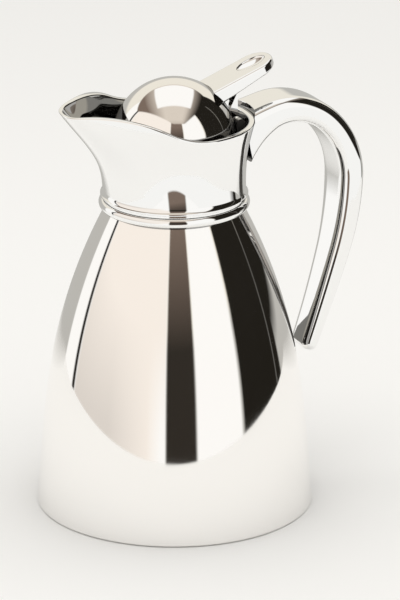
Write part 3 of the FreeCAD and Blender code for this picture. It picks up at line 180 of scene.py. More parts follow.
class StageSettings(bpy.types.PropertyGroup):
    """Camera, table top, light and the studio that the metal shows."""
    azimuth: angle("Azimuth", -26.0, "Camera's turn about the jug")
    elevation: angle("Elevation", 19.8, "Camera's height angle")
    distance: length("Distance", 2.6, "Camera's distance from its aim")
    lens: FloatProperty(name="Lens", description="Focal length", default=310.5, unit="CAMERA")
    aim_height: length("Aim height", 0.110, "Height on the jug's axis that the frame is set from")
    aim_right: length("Aim right", 0.01286, "How far the frame's middle lies right of that point")
    aim_down: length("Aim down", 0.00392, "How far the frame's middle lies below that point")
    table_back: length("Table back", 0.100, "Place behind the jug where the table is widest")
    table_front: length("Table front", 0.401, "Reach of the table's round front from there")
    table_rear: length("Table rear", 0.120, "Place behind there where the table starts to fade")
    table_fade: length("Table fade", 0.140, "Depth of that fade")
    table_side: length("Table side", 0.500, "Half width of the table")
    table_dip: angle("Table dip", 27.0, "How far below eye level the studio's table starts in front")
    table_far: angle("Table far", 12.5, "How far below eye level it starts at the sides")
    table_curve: FloatProperty(name="Table curve", description="Rise of that edge to the sides",
                               default=30.0)
    white_card: colour("White card", (1.0, 0.99, 0.97), "Cards beside the jug and the shade overhead")
    warm_card: colour("Warm card", (0.95, 0.88, 0.81), "Warm card to the left of the jug")
    dull_card: colour("Dull card", (0.72, 0.67, 0.62), "Foot of the warm card, far from the opening")
    black_card: colour("Black card", (0.015, 0.013, 0.01), "Black card to the right of the jug")
    grey_wall: colour("Grey wall", (0.5, 0.49, 0.46), "Studio wall at eye level")
    cream_wall: colour("Cream wall", (0.85, 0.81, 0.72), "Studio wall higher up")
    dark_gap: colour("Dark gap", (0.03, 0.025, 0.02), "Opening between the cards, at eye level")
    brown_gap: colour("Brown gap", (0.2, 0.15, 0.12), "Opening higher and lower, and the dim ceiling")
    pale_ceiling: colour("Pale ceiling", (0.7, 0.63, 0.55), "Ceiling round the shade")
    second_dim: share("Repeat dimming", 0.92, "Dimming of the studio after three reflections")
    floor: colour("Floor", (0.955, 0.95, 0.93), "Pale table top")
    background: colour("Background", (0.92, 0.913, 0.88), "Plain pale background")
    fill: share("Fill light", 0.8, "Even light from all round")
    lamp: FloatProperty(name="Lamp", description="Brightness of the soft lamp overhead", default=1.2,
                        min=0)


# Modelling helpers

def deselect():
    bpy.ops.object.select_all(action="DESELECT")


def finish_mesh(piece, name, body, slot, material, *nodes):
    """Name a finished piece, give it its material and tie it to the frame."""
    piece.name = name
    piece.data.name = name
    piece.data.materials.clear()
    piece.data.materials.append(material)
    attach(piece, body)
    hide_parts(*nodes)


def clean_edit_mesh():
    """Weld an edit-mode mesh, turn its faces outwards and leave edit mode smooth."""
    bpy.ops.mesh.select_all(action="SELECT")
    bpy.ops.mesh.remove_doubles(threshold=WELD)
    bpy.ops.mesh.normals_make_consistent(inside=False)
    bpy.ops.object.mode_set(mode="OBJECT")
    bpy.ops.object.shade_smooth_by_angle(angle=SHARP)


def turn_profile(profile, steps):
    """Draw a closed half section by extruding a point along it, then spin it about the jug's axis."""
    deselect()
    bpy.ops.mesh.primitive_plane_add(size=0.001)
    piece = bpy.context.object
    bpy.ops.object.mode_set(mode="EDIT")
    bpy.ops.mesh.select_all(action="SELECT")
    bpy.ops.mesh.merge(type="CENTER")
    here = Vector((0, 0, 0))
    for index, (radius, height) in enumerate(profile + profile[:1]):
        there = Vector((radius, 0, height))
        if index == 0:
            bpy.ops.transform.translate(value=there - here)
        else:
            bpy.ops.mesh.extrude_vertices_move(TRANSFORM_OT_translate={"value": there - here})
        here = there
    bpy.ops.mesh.select_all(action="SELECT")
    bpy.ops.mesh.remove_doubles(threshold=WELD)
    bpy.ops.mesh.spin(steps=steps, angle=2 * math.pi, center=(0, 0, 0), axis=(0, 0, 1))
    clean_edit_mesh()
    return piece


def grow_tube(columns, rings, place, ends):
    """Extrude a circle ring by ring, each point set by place(ring, column), then close its ends."""
    deselect()
    bpy.ops.mesh.primitive_circle_add(vertices=columns, radius=1.0)
    piece = bpy.context.object
    bpy.ops.object.mode_set(mode="EDIT")
    bpy.ops.mesh.select_all(action="SELECT")
    mesh = bmesh.from_edit_mesh(piece.data)
    layer = mesh.verts.layers.int.new("column")
    for vert in mesh.verts:
        vert[layer] = round(math.atan2(vert.co.y, vert.co.x) / (2 * math.pi) * columns) % columns
    for ring in range(rings):
        if ring:
            bpy.ops.mesh.extrude_region_move()
        mesh = bmesh.from_edit_mesh(piece.data)
        layer = mesh.verts.layers.int["column"]
        for vert in mesh.verts:
            if vert.select:
                vert.co = place(ring, vert[layer])
        bmesh.update_edit_mesh(piece.data)
    bpy.ops.mesh.select_all(action="DESELECT")
    bpy.ops.mesh.select_mode(type="EDGE")
    bpy.ops.mesh.select_non_manifold(extend=False, use_wire=False, use_boundary=True,
                                     use_multi_face=False, use_non_contiguous=False, use_verts=False)
    if ends == "joined":
        bpy.ops.mesh.bridge_edge_loops()
    else:
        bpy.ops.mesh.fill_holes(sides=0)
    bpy.ops.mesh.select_mode(type="VERT")
    clean_edit_mesh()
    piece.data.attributes.remove(piece.data.attributes["column"])
    return piece


def arc(centre, radius, start, end, steps):
    """Points along an arc in the half section, ends included."""
    points = []
    for step in range(steps + 1):
        turn = start + (end - start) * step / steps
        points.append((centre[0] + radius * math.cos(turn), centre[1] + radius * math.sin(turn)))
    return points


def smooth_curve(places, values):
    """Cubic curve through values at rising places, its first and last two pieces joined as one."""
    gaps = numpy.diff(places)
    slopes = numpy.diff(values) / gaps
    count = len(places)
    rows = numpy.zeros((count, count))
    sums = numpy.zeros(count)
    rows[0, :3] = gaps[1], -gaps[0] - gaps[1], gaps[0]
    rows[-1, -3:] = gaps[-1], -gaps[-2] - gaps[-1], gaps[-2]
    for i in range(1, count - 1):
        rows[i, i - 1:i + 2] = gaps[i - 1], 2 * (gaps[i - 1] + gaps[i]), gaps[i]
        sums[i] = 6 * (slopes[i] - slopes[i - 1])
    bends = numpy.linalg.solve(rows, sums).tolist()

    def value_at(place):
        i = 0
        while i < count - 2 and place > places[i + 1]:
            i += 1
        step = places[i + 1] - places[i]
        before = places[i + 1] - place
        after = place - places[i]
        line = (values[i] / step - bends[i] * step / 6) * before
        line += (values[i + 1] / step - bends[i + 1] * step / 6) * after
        return line + (bends[i] * before ** 3 + bends[i + 1] * after ** 3) / (6 * step)
    return value_at


# Finishes

SMUDGE_SPAN = (0.48, 0.82)
HAIR_STRETCH = (0.06, 0.06, 1.0)
HAIR_ROUGHNESS = 0.012
DRIFT_SCALE = 9.0
PATCH_SCALE = 55.0
PATCH_SPAN = (0.3, 0.7)


def node(tree, kind, **sockets):
    """Add a node; plain names set its properties, names with in_ set its inputs."""
    made = tree.nodes.new(kind)
    for name, value in sockets.items():
        if name.startswith("in_"):
            made.inputs[name[3:].replace("_", " ")].default_value = value
        else:
            setattr(made, name, value)
    return made


def put(tree, socket, value):
    """Link a node's output to a socket, or set the socket to a plain value."""
    if isinstance(value, bpy.types.NodeSocket):
        tree.links.new(value, socket)
    else:
        socket.default_value = value


def reckon(tree, operation, *values):
    """Output of one sum on numbers or other outputs."""
    made = node(tree, "ShaderNodeMath", operation=operation)
    for socket, value in zip(made.inputs, values):
        put(tree, socket, value)
    return made.outputs["Value"]


def both(tree, first, second):
    """Output where two masks overlap."""
    return reckon(tree, "MULTIPLY", first, second)


def fade(tree, value, start, end):
    """Output that goes from 0 to 1 as a value goes from start to end."""
    made = node(tree, "ShaderNodeMapRange", in_From_Min=start, in_From_Max=end)
    put(tree, made.inputs["Value"], value)
    return made.outputs["Result"]


def blend(tree, part, first, second):
    """Output that mixes two colours."""
    made = node(tree, "ShaderNodeMix", data_type="RGBA")
    for name, value in (("Factor", part), ("A", first), ("B", second)):
        put(tree, made.inputs[name], value)
    return made.outputs["Result"]


def noise(tree, place, scale, **sockets):
    """Output of a noise pattern."""
    made = node(tree, "ShaderNodeTexNoise", **sockets)
    put(tree, made.inputs["Vector"], place)
    put(tree, made.inputs["Scale"], scale)
    return made.outputs["Fac"]


def paint(shade):
    """A colour setting as a socket's value."""
    return tuple(shade) + (1,)


def finish_group(name, **numbers):
    """Start a group with number inputs, a light and a dark tone, and the outputs of a finish."""
    tree = bpy.data.node_groups.new(name, "ShaderNodeTree")
    add = tree.interface.new_socket
    for label, value in numbers.items():
        socket = add(label.replace("_", " "), in_out="INPUT", socket_type="NodeSocketFloat")
        socket.default_value = value
    for label in ("Light", "Dark"):
        add(label, in_out="INPUT", socket_type="NodeSocketColor")
    add("Colour", in_out="OUTPUT", socket_type="NodeSocketColor")
    for label in ("Roughness", "Height"):
        add(label, in_out="OUTPUT", socket_type="NodeSocketFloat")
    given = node(tree, "NodeGroupInput").outputs
    out = node(tree, "NodeGroupOutput").inputs
    place = node(tree, "ShaderNodeTexCoord").outputs["Object"]
    return tree, given, out, place


def polish_group():
    """Group: faint smudges, hairlines and a slow drift of tone over polished metal."""
    tree = bpy.data.node_groups.get("polish_marks")
    if tree:
        return tree
    tree, given, out, place = finish_group("polish_marks", Roughness=0.03, Smudge=0.03,
                                           Smudge_Scale=26.0, Hairline_Scale=900.0)
    smudge = noise(tree, place, given["Smudge Scale"], in_Detail=5.0, in_Roughness=0.62)
    lift = fade(tree, smudge, *SMUDGE_SPAN)
    stretch = node(tree, "ShaderNodeMapping", in_Scale=HAIR_STRETCH)
    put(tree, stretch.inputs["Vector"], place)
    hairs = noise(tree, stretch.outputs["Vector"], given["Hairline Scale"], in_Detail=3.0,
                  in_Roughness=0.7)
    worn = reckon(tree, "MULTIPLY_ADD", lift, given["Smudge"], given["Roughness"])
    put(tree, out["Roughness"], reckon(tree, "MULTIPLY_ADD", hairs, HAIR_ROUGHNESS, worn))
    drift = noise(tree, place, DRIFT_SCALE, in_Detail=2.0)
    put(tree, out["Colour"], blend(tree, drift, given["Light"], given["Dark"]))
    put(tree, out["Height"], hairs)
    return tree


def grain_group():
    """Group: moulded grain with a fine speckle for plastic, rubber and felt."""
    tree = bpy.data.node_groups.get("moulded_grain")
    if tree:
        return tree
    tree, given, out, place = finish_group("moulded_grain", Grain_Scale=1400.0, Rough_Low=0.4,
                                           Rough_High=0.6)
    grain = noise(tree, place, given["Grain Scale"], in_Detail=4.0, in_Roughness=0.6)
    patch = fade(tree, noise(tree, place, PATCH_SCALE, in_Detail=3.0), *PATCH_SPAN)
    put(tree, patch.node.inputs["To Min"], given["Rough Low"])
    put(tree, patch.node.inputs["To Max"], given["Rough High"])
    put(tree, out["Roughness"], patch)
    put(tree, out["Colour"], blend(tree, grain, given["Light"], given["Dark"]))
    put(tree, out["Height"], grain)
    return tree


def finish(name, group, tint, spread, metallic, bump, **values):
    """Material from a group: a tint with a lighter and a darker side, a shader and a fine bump."""
    material = bpy.data.materials.get(name)
    if material:
        return material
    material = bpy.data.materials.new(name)
    material.use_nodes = True
    tree = material.node_tree
    tree.nodes.clear()
    marks = node(tree, "ShaderNodeGroup", node_tree=group)
    for label, value in values.items():
        marks.inputs[label.replace("_", " ")].default_value = value
    marks.inputs["Light"].default_value = [min(part * (1 + spread), 1) for part in tint] + [1]
    marks.inputs["Dark"].default_value = [part * (1 - spread) for part in tint] + [1]
    shader = node(tree, "ShaderNodeBsdfPrincipled", in_Metallic=metallic)
    out = node(tree, "ShaderNodeOutputMaterial")
    relief = node(tree, "ShaderNodeBump", in_Strength=bump, in_Distance=0.0001)
    tree.links.new(marks.outputs["Colour"], shader.inputs["Base Color"])
    tree.links.new(marks.outputs["Roughness"], shader.inputs["Roughness"])
    tree.links.new(marks.outputs["Height"], relief.inputs["Height"])
    tree.links.new(relief.outputs["Normal"], shader.inputs["Normal"])
    tree.links.new(shader.outputs["BSDF"], out.inputs["Surface"])
    return material


def metal(name, tint, roughness, smudge, bump, spread=0.012, hairline=900.0):
    return finish(name, polish_group(), tint, spread, metallic=1.0, bump=bump, Roughness=roughness,
                  Smudge=smudge, Hairline_Scale=hairline)


def moulded(name, tint, low, high, bump, grain=1400.0):
    return finish(name, grain_group(), tint, spread=0.25, metallic=0.0, bump=bump, Rough_Low=low,
                  Rough_High=high, Grain_Scale=grain)


def steel_finish(context):
    colours = context.scene.jug_finishes
    return metal("polished_steel", colours.steel, colours.steel_polish, smudge=0.03, bump=0.008)


def chrome_finish(context):
    colours = context.scene.jug_finishes
    return metal("bright_plating", colours.chrome, colours.chrome_polish, smudge=0.02, bump=0.004)


# Pieces

class JUG_OT_casing(bpy.types.Operator):
    """Turn the bell-shaped casing from its half section"""
    bl_idname = "jug.casing"
    bl_label = "Casing"

    ROWS = 150
    EDGE = 0.00035
    EDGE_STEPS = 6

    def wall_line(self, sizes):
        """Half section of the outside, from the foot up: straight wall eased into the flank."""
        climb = (sizes.shoulder - sizes.foot_gap) / self.ROWS
        ease = sizes.flank_ease
        line = [Vector((sizes.base_radius - sizes.foot_gap * math.tan(sizes.draft), sizes.foot_gap))]
        for _ in range(self.ROWS):
            past = line[-1].y + climb / 2 - sizes.straight_top
            bend = max(past, 0) if abs(past) > ease else (past + ease) ** 2 / (4 * ease)
            lean = math.asin(math.sin(sizes.draft) + bend / sizes.flank_radius)
            line.append(line[-1] + Vector((-math.tan(lean), 1)) * climb)
        miss = (sizes.shoulder_radius - line[-1].x) / (sizes.shoulder - sizes.foot_gap)
        return [(point.x + miss * (point.y - sizes.foot_gap), point.y) for point in line]

    def execute(self, context):
        sizes = context.scene.jug_casing
        outer = self.wall_line(sizes)
        top = sizes.shoulder - sizes.wall
        inner = [(radius - sizes.wall, height) for radius, height in outer
                 if sizes.foot_gap + sizes.wall < height < top]
        inner.append((inner[-1][0], top))
        hem = inner[0][0] - sizes.hem
        edge = self.EDGE
        foot_radius, foot = outer[0]
        rounded = arc((foot_radius - edge, foot + edge), edge, -math.pi / 2, 0, self.EDGE_STEPS)
        neck = [(sizes.bore, sizes.shoulder), (sizes.bore, top)]
        hem_top = [(inner[0][0], foot + sizes.wall), (hem, foot + sizes.wall)]
        profile = [(hem, foot)] + rounded + outer[1:] + neck + inner[::-1] + hem_top
        piece = turn_profile(profile, sizes.turns)
        finish_mesh(piece, "polished_casing", JUG, "casing_steel", steel_finish(context),
                    "outer_shell")
        return {"FINISHED"}


class JUG_OT_waist_ring(bpy.types.Operator):
    """Turn the bead between the casing and the collar"""
    bl_idname = "jug.waist_ring"
    bl_label = "Waist ring"

    BEAD_STEPS = 40

    def execute(self, context):
        sizes = context.scene.jug_casing
        radius = sizes.bead_radius
        centre = (sizes.bead_reach - radius, sizes.shoulder + radius)
        land_turn = math.acos((sizes.land - centre[0]) / radius)
        top = sizes.shoulder + sizes.ring_height
        profile = [(sizes.bore, sizes.shoulder)]
        profile += arc(centre, radius, -math.pi / 2, land_turn, self.BEAD_STEPS)
        profile += [(sizes.land, top), (sizes.bore, top)]
        piece = turn_profile(profile, sizes.turns)
        finish_mesh(piece, "bright_waist_ring", JUG, "bright_chrome", chrome_finish(context),
                    "waist_ring")
        return {"FINISHED"}


class JUG_OT_dome(bpy.types.Operator):
    """Turn the half-ball lid cover"""
    bl_idname = "jug.dome"
    bl_label = "Lid dome"

    EDGE = 0.0003
    EDGE_STEPS = 5
    OUTER_STEPS = 80
    INNER_STEPS = 40

    def execute(self, context):
        sizes = context.scene.jug_casing
        radius = sizes.dome_radius
        centre = (0, sizes.dome_level)
        inner = radius - sizes.wall
        edge = self.EDGE
        lower = sizes.dome_edge
        profile = [(inner, lower)]
        profile += arc((radius - edge, lower + edge), edge, -math.pi / 2, 0, self.EDGE_STEPS)
        profile += arc(centre, radius, 0, math.pi / 2, self.OUTER_STEPS)
        profile += arc(centre, inner, math.pi / 2, 0, self.INNER_STEPS)
        piece = turn_profile(profile, sizes.turns)
        finish_mesh(piece, "polished_dome", LID, "dome_steel", steel_finish(context), "lid_dome")
        return {"FINISHED"}


class CollarShape:
    """The collar's outside and inside as functions of turn and height."""
    RISES = (0.0034, 0.0094, 0.0174, 0.0274, 0.0394, 0.0554)
    RADII = (0.0359, 0.0358, 0.0363, 0.0377, 0.0406, 0.0410)
    REACHES = (0.0359, 0.0365, 0.0388, 0.0445, 0.0537, 0.0650)
    FLUTES = (0.0, 0.0, 0.0006, 0.0022, 0.0055, 0.0090)
    FLUTE_SCALE = 9.48
    RIM_TRIES = 12

    def __init__(self, sizes):
        levels = [sizes.foot + rise for rise in self.RISES]
        lips = [sizes.wall] * 4 + [sizes.lip] * 2
        self.sizes = sizes
        self.neck = levels[0]
        self.radius = smooth_curve(levels, self.RADII)
        self.reach = smooth_curve(levels, self.REACHES)
        self.flute = smooth_curve(levels, self.FLUTES)
        self.inset = smooth_curve(levels, lips)

    def at(self, turn, height, inside):
        """Point of the wall; inside runs from 0 on the outside to 1 on the inside."""
        radius = self.radius(height) - self.inset(height) * inside
        reach = self.reach(height) - self.sizes.wall * inside
        forward = max(-math.cos(turn), 0.0)
        along = reach if forward > 0 else radius
        pinch = max(self.flute(height), 0) * self.FLUTE_SCALE * forward ** 3 * (1 - forward)
        across = radius * math.sin(turn) - math.copysign(pinch, math.sin(turn))
        return Vector((along * math.cos(turn), across, height))

    def rim_height(self, x):
        """Height of the rim line over a place along X."""
        sizes = self.sizes
        climb = sizes.rim_climb
        foot_x = sizes.rim_turn - sizes.rim_valley * math.sin(climb)
        foot_z = sizes.rim_level + sizes.rim_valley * (1 - math.cos(climb))
        crest_x = foot_x - sizes.rim_crest * math.sin(climb)
        crest_z = foot_z + sizes.rim_crest * (1 - math.cos(climb))
        if x >= sizes.rim_turn:
            return sizes.rim_level
        if x >= foot_x:
            drop = math.sqrt(sizes.rim_valley ** 2 - (sizes.rim_turn - x) ** 2)
            return sizes.rim_level + sizes.rim_valley - drop
        return crest_z - sizes.rim_crest + math.sqrt(sizes.rim_crest ** 2 - (x - crest_x) ** 2)

    def rim(self, turn, inside):
        """Point where the wall meets the rim line."""
        height = self.sizes.rim_level
        for _ in range(self.RIM_TRIES):
            height = self.rim_height(self.at(turn, height, inside).x)
        return self.at(turn, height, inside)


class JUG_OT_collar(bpy.types.Operator):
    """Grow the pouring collar ring by ring, over its rim and down its inside"""
    bl_idname = "jug.collar"
    bl_label = "Pouring collar"

    LIP_STEPS = 7
    LIP_LEAST = 0.3
    LIP_MOST = 0.42
    COVE_STEPS = 12
    EDGE = 0.00025
    EDGE_STEPS = 4

    def foot_profile(self, sizes, shape):
        """Half section of the hidden spigot, the foot flange and the cove."""
        neck = shape.radius(shape.neck)
        bore = sizes.spigot - sizes.spigot_wall
        step = sizes.flange - neck
        climb = shape.neck - sizes.flange_top
        radius = (step ** 2 + climb ** 2) / (2 * step)
        centre = (neck + radius, shape.neck)
        start = math.pi + math.asin(climb / radius)
        cove = arc(centre, radius, start, math.pi, self.COVE_STEPS)
        edge = self.EDGE
        middle = (sizes.flange - edge, sizes.foot + edge)
        corner = arc(middle, edge, -math.pi / 2, 0, self.EDGE_STEPS)
        spigot = [(bore, sizes.spigot_foot), (sizes.spigot, sizes.spigot_foot),
                  (sizes.spigot, sizes.foot)]
        return spigot + corner + cove

    def wall_rings(self, sizes, shape, turn):
        """Points of one column above the neck: up the outside, over the lip, down the inside."""
        outer = shape.rim(turn, 0)
        inner = shape.rim(turn, 1)
        across = inner - outer
        rounding = max(sizes.lip_round, across.length * self.LIP_LEAST)
        rounding = min(rounding, across.length * self.LIP_MOST)
        out_foot = shape.at(turn, outer.z - rounding, 0)
        in_foot = shape.at(turn, inner.z - rounding, 1)
        points = []
        for row in range(1, sizes.rows + 1):
            height = shape.neck + (out_foot.z - shape.neck) * row / sizes.rows
            points.append(shape.at(turn, height, 0))
        flat = across.normalized() * rounding
        bends = ((outer, out_foot, outer + flat), (inner, inner - flat, in_foot))
        for corner, start, end in bends:
            for step in range(1, self.LIP_STEPS + 1):
                part = math.sin(step / self.LIP_STEPS * math.pi / 2)
                rest = math.cos(step / self.LIP_STEPS * math.pi / 2)
                points.append(corner + (start - corner) * (1 - part) + (end - corner) * (1 - rest))
        rows = sizes.rows // 2
        for row in range(1, rows + 1):
            height = in_foot.z + (shape.neck - in_foot.z) * row / rows
            points.append(shape.at(turn, height, 1))
        return points

    def execute(self, context):
        sizes = context.scene.jug_collar
        shape = CollarShape(sizes)
        foot = self.foot_profile(sizes, shape)
        bore = sizes.spigot - sizes.spigot_wall
        columns = sizes.columns
        turns = [2 * math.pi * column / columns for column in range(columns)]
        walls = [self.wall_rings(sizes, shape, turn) for turn in turns]

        def place(ring, column):
            turn = turns[column]
            if ring < len(foot):
                radius, height = foot[ring]
                return Vector((radius * math.cos(turn), radius * math.sin(turn), height))
            ring -= len(foot)
            if ring < len(walls[column]):
                return walls[column][ring]
            return Vector((bore * math.cos(turn), bore * math.sin(turn), shape.neck))

        piece = grow_tube(columns, len(foot) + len(walls[0]) + 1, place, "joined")
        finish_mesh(piece, "bright_collar", JUG, "bright_chrome", chrome_finish(context),
                    "pouring_collar")
        return {"FINISHED"}


class JUG_OT_handle(bpy.types.Operator):
    """Grow the handle along its centre line, from the collar to its rounded free end"""
    bl_idname = "jug.handle"
    bl_label = "Handle"

    RUN_STEPS = 32
    CORNER_STEPS = 9
    FLAT_STEPS = (8, 4)
    TIP_STEPS = 9
    TIP_EDGE = 0.0002

    def stations(self, sizes):
        """Place, heading and section along the centre line."""
        joints = (
            (sizes.root_width, sizes.root_depth, sizes.rounding, sizes.root_drop),
            (sizes.width, sizes.shank_depth, sizes.rounding, sizes.shank_drop),
            (sizes.width, sizes.depth, sizes.rounding, 0.0),
            (sizes.width, sizes.depth, sizes.rounding, 0.0),
            (sizes.lower_width, sizes.lower_depth, sizes.rounding, 0.0),
            (sizes.tail_width, sizes.tail_depth, sizes.tail_edge, 0.0),
        )
        curves = [smooth_curve(range(len(joints)), measure) for measure in zip(*joints)]
        bends = ((sizes.crook_radius, sizes.crook_turn), (sizes.back_radius, sizes.back_turn),
                 (sizes.grip_radius, sizes.grip_turn), (sizes.tail_radius, sizes.tail_turn))
        place = Vector((sizes.start_x, 0, sizes.start_z))
        heading = sizes.lift
        ahead = Vector((math.cos(heading), 0, math.sin(heading)))
        made = []
        for step in range(self.RUN_STEPS):
            part = step / self.RUN_STEPS
            there = place + ahead * sizes.lead * part
            made.append((there, heading, [curve(part) for curve in curves]))
        place = place + ahead * sizes.lead
        for index, (radius, turn) in enumerate(bends, start=1):
            centre = place + Vector((math.sin(heading), 0, -math.cos(heading))) * radius
            for step in range(self.RUN_STEPS + 1):
                part = step / self.RUN_STEPS
                turned = heading - turn * part
                there = centre + Vector((-math.sin(turned), 0, math.cos(turned))) * radius
                if step < self.RUN_STEPS or index == len(bends):
                    made.append((there, turned, [curve(index + part) for curve in curves]))
            place, heading = there, turned
        return made

    def section_points(self, width, depth, rounding, drop):
        """Outline of a rounded oblong, across and up from the centre line."""
        half_width = width / 2 - rounding
        half_depth = depth / 2 - rounding
        corners = ((half_width, half_depth, 0), (-half_width, half_depth, 1),
                   (-half_width, -half_depth, 2), (half_width, -half_depth, 3))
        outline = []
        for index, (across, up, quarter) in enumerate(corners):
            for step in range(self.CORNER_STEPS + 1):
                turn = (quarter + step / self.CORNER_STEPS) * math.pi / 2
                outline.append((across + rounding * math.cos(turn),
                                up + rounding * math.sin(turn) - drop))
            after = corners[(index + 1) % 4]
            turn = (quarter + 1) * math.pi / 2
            flats = self.FLAT_STEPS[index % 2]
            for step in range(1, flats):
                part = step / flats
                outline.append((across + (after[0] - across) * part + rounding * math.cos(turn),
                                up + (after[1] - up) * part + rounding * math.sin(turn) - drop))
        return outline

    def execute(self, context):
        sizes = context.scene.jug_handle
        shape = CollarShape(context.scene.jug_collar)
        stations = self.stations(sizes)
        tip, tip_heading, tip_section = stations[-1]
        ahead = Vector((math.cos(tip_heading), 0, math.sin(tip_heading)))
        keep = [item for item in stations if (tip - item[0]).dot(ahead) > sizes.tail_round]
        for step in range(self.TIP_STEPS + 1):
            turn = step / self.TIP_STEPS * math.pi / 2
            shrink = sizes.tail_round * (1 - math.cos(turn))
            width, depth, rounding, drop = tip_section
            rounding = max(rounding - shrink, self.TIP_EDGE)
            section = (width - 2 * shrink, depth - 2 * shrink, rounding, drop)
            place = tip - ahead * sizes.tail_round * (1 - math.sin(turn))
            keep.append((place, tip_heading, section))
        rings = []
        for place, heading, section in keep:
            up = Vector((-math.sin(heading), 0, math.cos(heading)))
            outline = self.section_points(*section)
            rings.append([place + Vector((0, across, 0)) + up * rise for across, rise in outline])
        for ring in rings:
            for point in ring:
                if point.x < sizes.start_x + sizes.lead:
                    reach = shape.radius(point.z) + sizes.seat_gap
                    point.x = max(point.x, math.sqrt(reach ** 2 - point.y ** 2))

        def point_at(ring, column):
            return rings[ring][column]

        piece = grow_tube(len(rings[0]), len(rings), point_at, "filled")
        finish_mesh(piece, "bright_handle", JUG, "bright_chrome", chrome_finish(context), "handle")
        return {"FINISHED"}


class JUG_OT_lever(bpy.types.Operator):
    """Weld and smooth a copy of the thumb lever's solid and deepen its dimple"""
    bl_idname = "jug.lever"
    bl_label = "Thumb lever"

    LEVEL = 0.999

    def deepen_dimple(self, context, piece):
        """Stretch the dimple away from the lever's flat top."""
        sizes = context.scene.jug_lever
        along = Vector((math.cos(sizes.slope), 0, math.sin(sizes.slope)))
        across = Vector((0, -1, 0))
        outward = along.cross(across) * -1
        level = [face for face in piece.data.polygons if face.normal.dot(outward) > self.LEVEL]
        widest = max(level, key=lambda face: face.area)
        top = piece.data.vertices[widest.vertices[0]].co
        middle = top + along * ((sizes.dimple_reach - top.x) / along.x)
        middle.y = 0
        bpy.ops.object.mode_set(mode="EDIT")
        bpy.ops.mesh.select_all(action="DESELECT")
        mesh = bmesh.from_edit_mesh(piece.data)
        chosen = 0
        for vertex in mesh.verts:
            step = vertex.co - middle
            oval = math.hypot(step.dot(along) / sizes.dimple_length, step.y / sizes.dimple_width)
            vertex.select = oval < 0.5 and -sizes.dimple_width / 4 < step.dot(outward) < -WELD
            chosen += vertex.select
        if not chosen:
            raise RuntimeError("the lever's dimple was not found")
        bmesh.update_edit_mesh(piece.data)
        turn = Matrix((along, across, outward)).transposed()
        bpy.ops.transform.resize(value=(1, 1, sizes.deepen), orient_type="GLOBAL", orient_matrix=turn,
                                 orient_matrix_type="GLOBAL", constraint_axis=(False, False, True),
                                 center_override=middle)
        bpy.ops.object.mode_set(mode="OBJECT")

    def execute(self, context):
        solid = frame["nodes"]["thumb_lever"]
        piece = bpy.data.objects.new("bright_lever", solid.data.copy())
        context.scene.collection.objects.link(piece)
        deselect()
        context.view_layer.objects.active = piece
        piece.select_set(True)
        bpy.ops.object.mode_set(mode="EDIT")
        clean_edit_mesh()
        self.deepen_dimple(context, piece)
        even = piece.modifiers.new("even_shading", "WEIGHTED_NORMAL")
        even.keep_sharp = True
        bpy.ops.object.modifier_apply(modifier=even.name)
        finish_mesh(piece, "bright_lever", LID, "bright_chrome", chrome_finish(context),
                    "thumb_lever")
        return {"FINISHED"}


class JUG_OT_inner_pieces(bpy.types.Operator):
    """Give the pieces that keep their solids their finishes"""
    bl_idname = "jug.inner_pieces"
    bl_label = "Inner pieces"

    def execute(self, context):
        colours = context.scene.jug_finishes
        finishes = {
            "casing_steel": steel_finish(context),
            "dome_steel": steel_finish(context),
            "bright_chrome": chrome_finish(context),
            "hinge_steel": metal("satin_steel", colours.hinge, roughness=0.26, smudge=0.12, bump=0.12,
                                 spread=0.08, hairline=2600.0),
            "black_plastic": moulded("black_plastic", colours.plastic, low=0.32, high=0.5, bump=0.12),
            "dark_rubber": moulded("dark_rubber", colours.rubber, low=0.62, high=0.85, bump=0.25,
                                   grain=2200.0),
            "silvered_glass": metal("silvered_glass", colours.silver, roughness=0.03, smudge=0.05,
                                    bump=0.01),
            "grey_felt": moulded("grey_felt", colours.felt, low=0.85, high=1.0, bump=0.6,
                                 grain=3200.0),
        }
        for part in frame["record"]["subparts"]:
            solid = frame["nodes"][part["node"]]
            for place in solid.material_slots:
                place.material = finishes[part["material_slot"]]
        return {"FINISHED"}


# Stage

def turned_with_camera(tree, way, stage):
    """The parts of a direction to the camera's right, away from the camera and up."""
    turned = node(tree, "ShaderNodeVectorRotate", rotation_type="Z_AXIS", in_Angle=-stage.azimuth)
    put(tree, turned.inputs["Vector"], way)
    parts = node(tree, "ShaderNodeSeparateXYZ")
    put(tree, parts.inputs["Vector"], turned.outputs["Vector"])
    return parts.outputs


def mixed_shader(tree, part, first, second):
    """Output that mixes two shaders."""
    made = node(tree, "ShaderNodeMixShader")
    for socket, value in zip(made.inputs, (part, first, second)):
        put(tree, socket, value)
    return made.outputs["Shader"]


